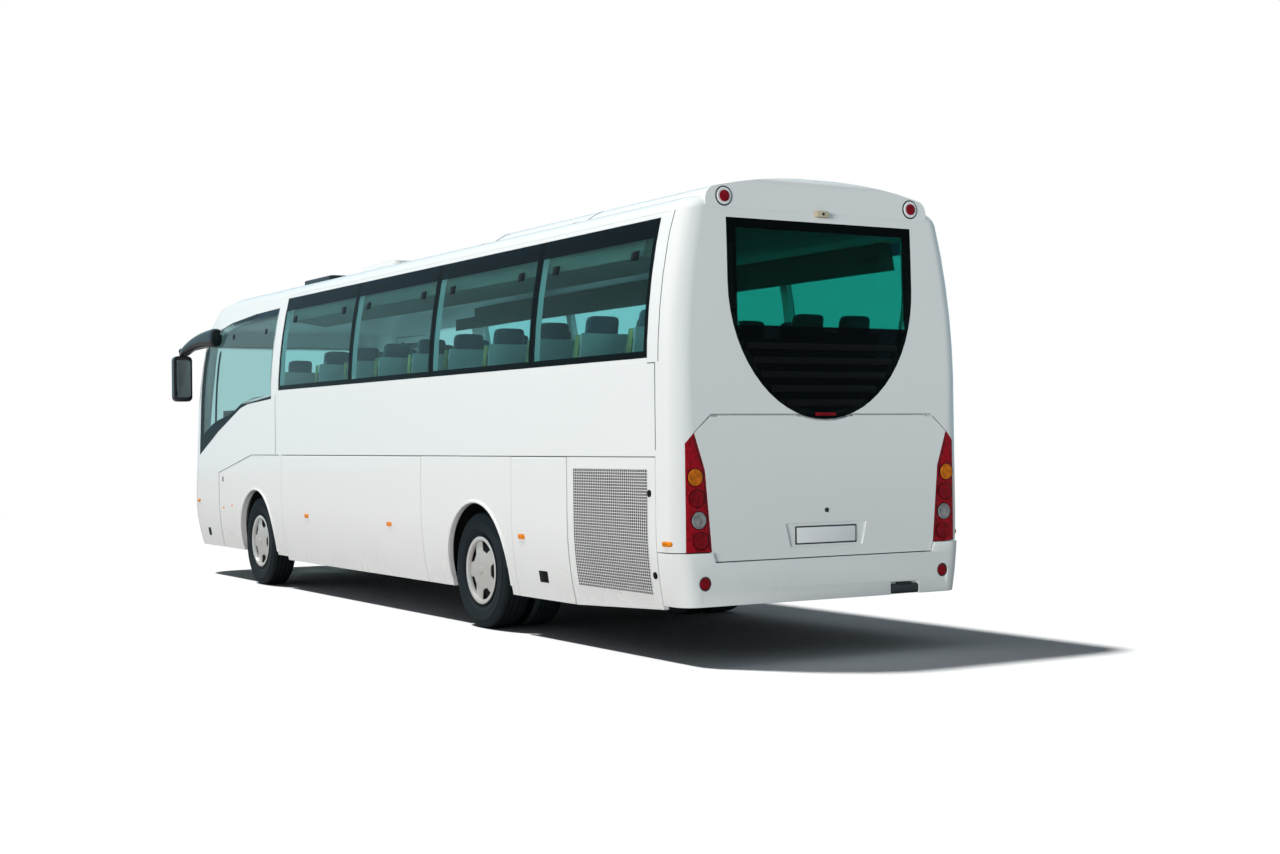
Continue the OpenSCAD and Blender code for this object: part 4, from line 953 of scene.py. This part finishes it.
def bodyAt(station, side):
    name = "left" if side > 0 else "right"
    if station < panelEnds["rearDoor"]:
        return "grille_door_left" if side > 0 else "side_door_right"
    if station < panelEnds["serviceFlap"]:
        return "service_flap_" + name
    flapFrom = panelEnds["flapFrom" if side > 0 else "rightFlapFrom"]
    if flapFrom < station < panelEnds["flapTo"]:
        return "luggage_flap_" + name
    return "coach"


for side in (1, -1):
    for k, (station, z) in enumerate(smallParts["markers"]):
        if bodyAt(station, side) == "coach" and side < 0:
            continue
        marker = wallBlock("marker%d" % k, station, z, 0.105, 0.040, 0.010, markerOrange, 0.004, side, 0.019)
        finishPiece(marker, bodyAt(station, side))
    vent = wallBlock("sideVent0", *smallParts["sideVent"], 0.14, 0.09, 0.003, soot, 0.002, side)
    finishPiece(vent, bodyAt(smallParts["sideVent"][0], side))
    locks = []
    for k, (station, z) in enumerate(smallParts["doorLocks"]):
        locks.append(wallBlock("doorLock%d" % k, station, z, 0.054, 0.050, 0.004, soot, 0.001, side, 0.024))
    finishPiece(joined(locks, "doorLocks"), bodyAt(station, side))
frontBits = [wallBlock("frontVent", *smallParts["frontVent"], 0.09, 0.09, 0.003, soot, 0.002),
             wallBlock("frontLock", *smallParts["frontLock"], 0.030, 0.060, 0.004, soot, 0.006),
             wallBlock("frontMarker", *smallParts["frontMarker"], 0.09, 0.036, 0.010, markerOrange, 0.012)]
for k, (station, z) in enumerate(smallParts["dots"]):
    frontBits.append(wallBlock("frontDot%d" % k, station, z, 0.035, 0.022, 0.006, markerOrange, 0.006))
finishPiece(joined(frontBits, "frontSideBits"), "coach")

rearPlan = {"reflector": (1.05, 0.56), "pocket": 0.051, "highLamp": (0.044, 0.827, 3.228), "camera": 3.143,
            "cornerMarker": (0.115, 0.833), "lampEdge": ((0.994, 0.80), (1.042, 1.336), (1.116, 1.56)),
            "plate": (0.52, 0.11), "plateHeight": 0.86, "doorLock": 1.034}
rearBlocks = (("rearCamera", (0.0, -0.055, 3.121), (0.07, 0.055, 3.165), 0.008, 3, beige),
              ("bumperStep", (-0.0198, -0.820, 0.406), (0.014, -0.565, 0.476), 0.020, 4, matt),
              ("bumperStepTop", (-0.018, -0.765, 0.462), (0.014, -0.625, 0.488), 0.009, 3, gloss),
              ("doorSeal", (0.043, -0.94, 0.655), (0.060, 0.94, 0.730), 0.004, 2, linerBlack))
rearBits = []
bumper = bpy.data.objects["rear_bumper_skin"]
for side in (1, -1):
    y, z = side * rearPlan["reflector"][0], rearPlan["reflector"][1]
    pocket = button("pocket", (st(-0.0075), y, z), (-1, 0, 0), rearPlan["pocket"], 0.03, (), 40, 0)
    mod = bumper.modifiers.new("pocket", "BOOLEAN")
    mod.operation = "DIFFERENCE"
    mod.object = pocket
    settle(bumper)
    bpy.data.objects.remove(pocket)
    smooth(bumper, 30)
    spot, seat = (st(-0.0085), y, z), (st(-0.0120), y, z)
    steps = ((0.85, 0.002), (0.5, 0.001))
    rearBits += [rearButton("reflector", spot, 0.042, 0.008, steps, lensDeep, 32, 0.002),
                 rearButton("reflectorSeat", seat, 0.049, 0.004, ((0.9, 0.001),), matt)]
    station, y, z = rearPlan["highLamp"]
    spot = (st(station), side * y, z)
    steps, ringSteps = ((0.8, 0.002), (0.5, 0.002)), ((0.88, 0.003), (0.76, -0.003))
    rearBits += [rearButton("highLamp", spot, 0.040, 0.020, steps, lensDeep, 32, 0.003),
                 rearButton("highLampRing", spot, 0.060, 0.012, ringSteps, plateWhite, 32, 0.002),
                 rearButton("highLampSeat", spot, 0.070, 0.007, ((0.95, 0.001),), matt),
                 wallBlock("cornerMarker", *rearPlan["cornerMarker"], 0.088, 0.036, 0.009, markerOrange,
                           0.003, side, 0.017)]
    edge = ribbon("lampEdge", rearPlan["lampEdge"], 0.014, 0.004, True)
    if side < 0:
        edge = swapSide(edge, "lampEdge_right")
    rearBits.append(coat(edge, gloss))
spot = (st(0.001), 0.0, rearPlan["camera"])
rearBits.append(rearButton("cameraEye", spot, 0.010, 0.006, ((0.6, -0.002),), gloss, 20))
for name, low, high, edge, segments, material in rearBlocks:
    low, high = (st(low[0]), *low[1:]), (st(high[0]), *high[1:])
    rearBits.append(coat(block(name, low, high, edge, segments), material))
finishPiece(joined(rearBits, "rearBits"), "coach")

plateBits = []
for name, front, grow, material in (("plate", 0.003, 0.0, plateWhite), ("plateFrame", 0.006, 0.010, matt)):
    wide = rearPlan["plate"][0] / 2 + grow
    tall = rearPlan["plate"][1] / 2 + grow
    low = (st(front), -wide, rearPlan["plateHeight"] - tall)
    top = (st(0.0155), wide, rearPlan["plateHeight"] + tall)
    plateBits.append(coat(block(name, low, top, 0.004, 3), material))
spot = (st(0.001), 0, rearPlan["doorLock"])
plateBits.append(rearButton("engineDoorLock", spot, 0.017, 0.006, ((0.6, -0.002), (0.3, 0.001)), matt, 24))
finishPiece(joined(plateBits, "engineDoorBits"), "engine_door")


# louvres over the dark foot of the rear window
louvrePlan = {"from": 1.80, "pitch": 0.10, "count": 5, "half": 0.805, "drop": 0.955, "mid": 2.635,
              "inset": 0.05, "lean": 0.030, "leanFrom": 1.8, "leanTo": 3.0876}


def rearFace(z):
    share = (z - louvrePlan["leanFrom"]) / (louvrePlan["leanTo"] - louvrePlan["leanFrom"])
    return louvrePlan["lean"] * max(0.0, share)


slats = []
for k in range(louvrePlan["count"]):
    z = louvrePlan["from"] + louvrePlan["pitch"] * k
    drop = (louvrePlan["mid"] - z) / louvrePlan["drop"]
    width = louvrePlan["half"] * math.sqrt(max(0.0, 1 - drop ** 2)) - louvrePlan["inset"]
    face = st(rearFace(z))
    slat = block("slat", (face - 0.009, -width, z - 0.030), (face + 0.002, width, z + 0.022), 0)
    editOn(slat)
    pickFaces(slat, facesRear)
    bpy.ops.transform.resize(value=(1, 0.985, 0.45))
    bpy.ops.transform.translate(value=(0, 0, -0.012))
    editOff()
    soften(slat, 0.002, 2, 40)
    slats.append(coat(slat, soot))
brake = block("brakeLamp", (st(-0.008), -0.09, 1.705), (st(0.003), 0.09, 1.729), 0.004, 3)
slats.append(coat(brake, lensDeep))
finishPiece(joined(slats, "rearLouvres"), "coach")
print("lamps and small parts made")


# raised lips round the wheel arches, bent to the wall's tuck
lipPlan = {"radius": 0.562, "beyond": 0.034, "from": -9, "turn": 198, "low": 0.375, "steps": 56,
           "profile": ((0.000, -0.018), (0.000, 0.006), (0.005, 0.010), (0.020, 0.009), (0.028, 0.001),
                       (0.028, -0.018))}


def makeLip(name, x, side):
    axle = wheelPlan["height"]
    profile = [(lipPlan["radius"] + out, across) for out, across in lipPlan["profile"]]
    piece = turned(name, profile, (x, 0, axle), lipPlan["steps"], lipPlan["from"], lipPlan["turn"])
    reach = lipPlan["radius"] + lipPlan["beyond"]
    for point in piece.data.vertices:
        dx, dz = point.co.x - x, point.co.z - axle
        radius = math.hypot(dx, dz)
        y = sideY(x + dx / radius * reach + midStation, max(lipPlan["low"], axle + dz / radius * reach))
        point.co.y = side * (point.co.y + y)
    faceOut(piece)
    smooth(piece, 50)
    return piece


for side, name in ((1, "left"), (-1, "right")):
    pair = [makeLip("lip", wheelPlan[end], side) for end in ("front", "rear")]
    lips = joined(pair, "archLips_" + name)
    finishPiece(lips, "coach", paint)

# fine perforated sheet over the bars of the grille door; the bars behind it carry painted shade, near-black,
# so the holes read dark
clear()
start, end, foot, top = (grillePlan[key] for key in ("from", "to", "foot", "top"))
columns, rows = grillePlan["columns"], grillePlan["rows"]
bpy.ops.mesh.primitive_grid_add(x_subdivisions=columns, y_subdivisions=rows, size=1)
sheet = named("grilleSheet")
sheet.scale = (end - start, top - foot, 1)
settle(sheet)
editOn(sheet)
pickAll()
bpy.ops.mesh.inset(thickness=grillePlan["web"], depth=0, use_individual=True)
bpy.ops.mesh.delete(type="FACE")
editOff()
for point in sheet.data.vertices:
    station = (start + end) / 2 + point.co.x
    z = (foot + top) / 2 + point.co.y
    point.co = (st(station), sideY(start - 0.05, z) + grillePlan["lift"], z)
mod = sheet.modifiers.new("thick", "SOLIDIFY")
mod.thickness = grillePlan["thick"]
settle(sheet)
smooth(sheet, 30)
finishPiece(sheet, "grille_door_left", paint)

# seam lines of the body and dark pads high on the panes
seamPaths = (((7.90, 1.427), (8.79, 1.427), (9.96, 1.22)), ((8.00, 1.435), (8.00, 2.07)),
             ((9.955, 1.215), (9.955, 0.37)), ((0.205, 2.085), (0.205, 2.62), (0.198, 3.00), (0.178, 3.13)),
             ((0.246, 1.475), (0.246, 2.075)), ((0.246, 2.078), (0.346, 2.078)),
             ((1.76, 3.215), (1.55, 3.292)), ((3.38, 3.215), (3.10, 3.288)))
seamBits = [ribbon("seam", path, 0.006, 0.0016) for path in seamPaths]
finishPiece(joined([coat(bit, matt) for bit in seamBits], "frontSeams"), "coach")
pads = []
for start, end in zip(glassLook["paneEdges"][:-1], glassLook["paneEdges"][1:]):
    for share in (0.16, 0.84):
        station = start + (end - start) * share
        pads.append(wallBlock("pad", station, 2.850, 0.098, 0.070, 0.0012, soot, 0.0008))
for station in (8.46, 9.58):
    pads.append(wallBlock("pad", station, 2.775, 0.060, 0.058, 0.0012, soot, 0.0008))
finishPiece(joined(pads, "panePads"), "coach")
print("lips, grille sheet and seams made")

# mirror shrouds: a sphere drawn out along the arm, blunt at the root and slim at the head, glass behind
shroudPlan = {"root": (10.14, 1.225, 2.797), "mid": (10.92, 1.262, 2.830), "head": (11.40, 1.275, 2.635),
              "rootSize": (0.072, 0.118), "headSize": (0.062, 0.042), "cap": 0.34}
mirrorPlan = {"from": 11.350, "to": 11.362, "mid": 1.275, "half": 0.098, "foot": 2.125, "top": 2.600,
              "corner": 0.045, "rim": 0.008, "depth": 0.003}


def makeShroud(name):
    clear()
    bpy.ops.mesh.primitive_uv_sphere_add(segments=28, ring_count=40, radius=1)
    piece = named(name)
    root, mid, head = (Vector(shroudPlan[key]) for key in ("root", "mid", "head"))
    (rootWide, rootHigh), (headWide, headHigh) = shroudPlan["rootSize"], shroudPlan["headSize"]
    for point in piece.data.vertices:
        polar = math.acos(max(-1.0, min(1.0, point.co.z)))
        share = polar / math.pi
        blunt = 1 / math.sin(shroudPlan["cap"]) if polar < math.pi / 2 else 1.6
        girth = min(1.0, math.sin(polar) * blunt)
        girth = math.sqrt(max(0.0, 1 - (1 - girth) ** 2))
        flat = math.hypot(point.co.x, point.co.y)
        c, s = (point.co.x / flat, point.co.y / flat) if flat > 0.0001 else (0.0, 0.0)
        c, s = math.copysign(abs(c) ** 0.75, c), math.copysign(abs(s) ** 0.75, s)
        along = max(0.0, share - 0.06) / 0.94
        spot = root * (1 - along) ** 2 + mid * 2 * along * (1 - along) + head * along ** 2
        ahead = ((mid - root) * (1 - along) + (head - mid) * along).normalized()
        across = Vector((0, 0, 1)).cross(ahead).normalized()
        up = ahead.cross(across)
        wide = rootWide + (headWide - rootWide) * along
        high = rootHigh + (headHigh - rootHigh) * along ** 0.8
        spot = spot + across * (c * girth * wide) + up * (s * girth * high)
        point.co = (st(spot.x), spot.y, spot.z)
    editOn(piece)
    pickAll()
    bpy.ops.mesh.remove_doubles(threshold=0.00005)
    bpy.ops.mesh.normals_make_consistent(inside=False)
    editOff()
    smooth(piece, 60)
    return coat(piece, gloss)


def makeMirrorGlass(name):
    low = (st(mirrorPlan["from"]), mirrorPlan["mid"] - mirrorPlan["half"], mirrorPlan["foot"])
    high = (st(mirrorPlan["to"]), mirrorPlan["mid"] + mirrorPlan["half"], mirrorPlan["top"])
    frameBlock = block(name, low, high, 0)
    roundSides(frameBlock, 0, mirrorPlan["corner"])
    editOn(frameBlock)
    pickFaces(frameBlock, facesRear)
    step(mirrorPlan["rim"], (mirrorPlan["depth"], 0, 0))
    editOff()
    frameBlock.data.materials.append(matt)
    frameBlock.data.materials.append(mirrorFace)
    for face in frameBlock.data.polygons:
        if face.normal.x < -0.9 and face.area > 0.02:
            face.material_index = 1
    smooth(frameBlock, 30)
    return frameBlock


shroud = makeShroud("mirrorShroud")
mirror = makeMirrorGlass("mirrorGlass")
twins = [copyOf(shroud, "shroudRight", flip=True), copyOf(mirror, "mirrorRight", flip=True)]
finishPiece(joined([shroud, mirror] + twins, "mirrorShrouds"), "coach")

# vents on the pod's shoulder and ribs in the hatch lids
podVents = ((0.57, 0.085), (1.09, 0.055), (1.41, 0.025))
hatches = {"hatch_front": (8.94, gloss, "plastic_black"), "hatch_rear": (7.16, paint, "body_white")}
hatchPlan = {"rim": 0.045, "sink": 0.010, "pitch": 0.12, "half": 0.28, "ribHalf": 0.014}
podBits = []
for station, half in podVents:
    for y in (0.66, -0.66):
        z = topZ(station, y)
        low, high = (st(station) - half, y - 0.03, z - 0.012), (st(station) + half, y + 0.03, z + 0.010)
        podBits.append(coat(block("podVent", low, high, 0.004, 2), matt))
for body, (station, material, slot) in hatches.items():
    z = topZ(station, 0)
    lid = bpy.data.objects[body + "_skin"]
    editOn(lid)
    pickFaces(lid, lambda mid, normal: normal.z > 0.95 and mid.z > z - 0.004)
    step(hatchPlan["rim"], (0, 0, -hatchPlan["sink"]))
    editOff()
    smooth(lid, 30)
    for k in range(-2, 3):
        low = (st(station) - hatchPlan["half"], k * hatchPlan["pitch"] - hatchPlan["ribHalf"], z - 0.016)
        high = (st(station) + hatchPlan["half"], k * hatchPlan["pitch"] + hatchPlan["ribHalf"], z - 0.0005)
        rib = block("hatchRib", low, high, 0.006, 3)
        finishPiece(rib, body, material)
        rib.name = "hatchRib%d_%d" % (int(station), k + 2)
finishPiece(joined(podBits, "podVents"), "coach")
print("mirrors and roof details made")

# stage
clear()
bpy.ops.mesh.primitive_plane_add(size=160, location=(0, 0, 0))
floor = named("floor")
ground = Shade("paleFloor")
place = ground.place()
grit = ground.noise(3.0, 4.0, place)
across, along, rise = ground.parts(place)
far = (across * across + along * along).calc("SQRT").rise(light["fadeFrom"], light["fadeTo"])
ground.dress(colour=ground.mix(tuple(c * 0.985 for c in light["floor"]), light["floor"], grit), rough=0.9)
dull = ground.node("ShaderNodeBsdfDiffuse", {}, {"Color": light["bounce"]})
white = ground.node("ShaderNodeEmission", {}, {"Color": (1, 1, 1), "Strength": 1.0})
near = ground.choose(far, Wire(ground, ground.skin.outputs[0]), white)
ground.show("Material Output", ground.choose(ground.seen(), dull, near))
ground.skin.inputs["Specular IOR Level"].default_value = 0
coat(floor, ground.mat)
floor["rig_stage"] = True
for name, plan in lamps.items():
    data = bpy.data.lights.new(name, plan["kind"])
    data.energy = plan["power"]
    data.color = plan["tint"]
    lamp = bpy.data.objects.new(name, data)
    lamp.rotation_euler = Vector(plan["aim"]).to_track_quat("Z", "Y").to_euler()
    if plan["kind"] == "AREA":
        data.shape = "RECTANGLE"
        data.size, data.size_y = plan["size"]
        lamp.location = plan["place"]
    else:
        data.angle = math.radians(plan["angle"])
    link(lamp)
    if name == "sun":
        continue
    lamp.visible_camera = False
    lamp.visible_glossy = False
    unlit = bpy.data.collections.new(name + "Unlit")
    for piece in [floor] + [bpy.data.objects[key] for key in indoors]:
        unlit.objects.link(piece)
    lamp.light_linking.receiver_collection = unlit
    for entry in unlit.collection_objects:
        entry.light_linking.link_state = "EXCLUDE"
world = bpy.data.worlds.new("studio")
sky = Shade("studio", world)
tones = ((light["skyTone"], light["sky"]), (light["mirrored"], 1.0), ((1, 1, 1), 1.0))
skies = [sky.node("ShaderNodeBackground", {}, {"Color": tone, "Strength": power}) for tone, power in tones]
glossy = sky.node("ShaderNodeLightPath", {}, {}, "Is Glossy Ray")
sky.show("World Output", sky.choose(sky.seen(), sky.choose(glossy, skies[0], skies[1]), skies[2]))
bpy.context.scene.world = world
bpy.context.scene.view_settings.view_transform = "Standard"
print("stage set")

low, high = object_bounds()
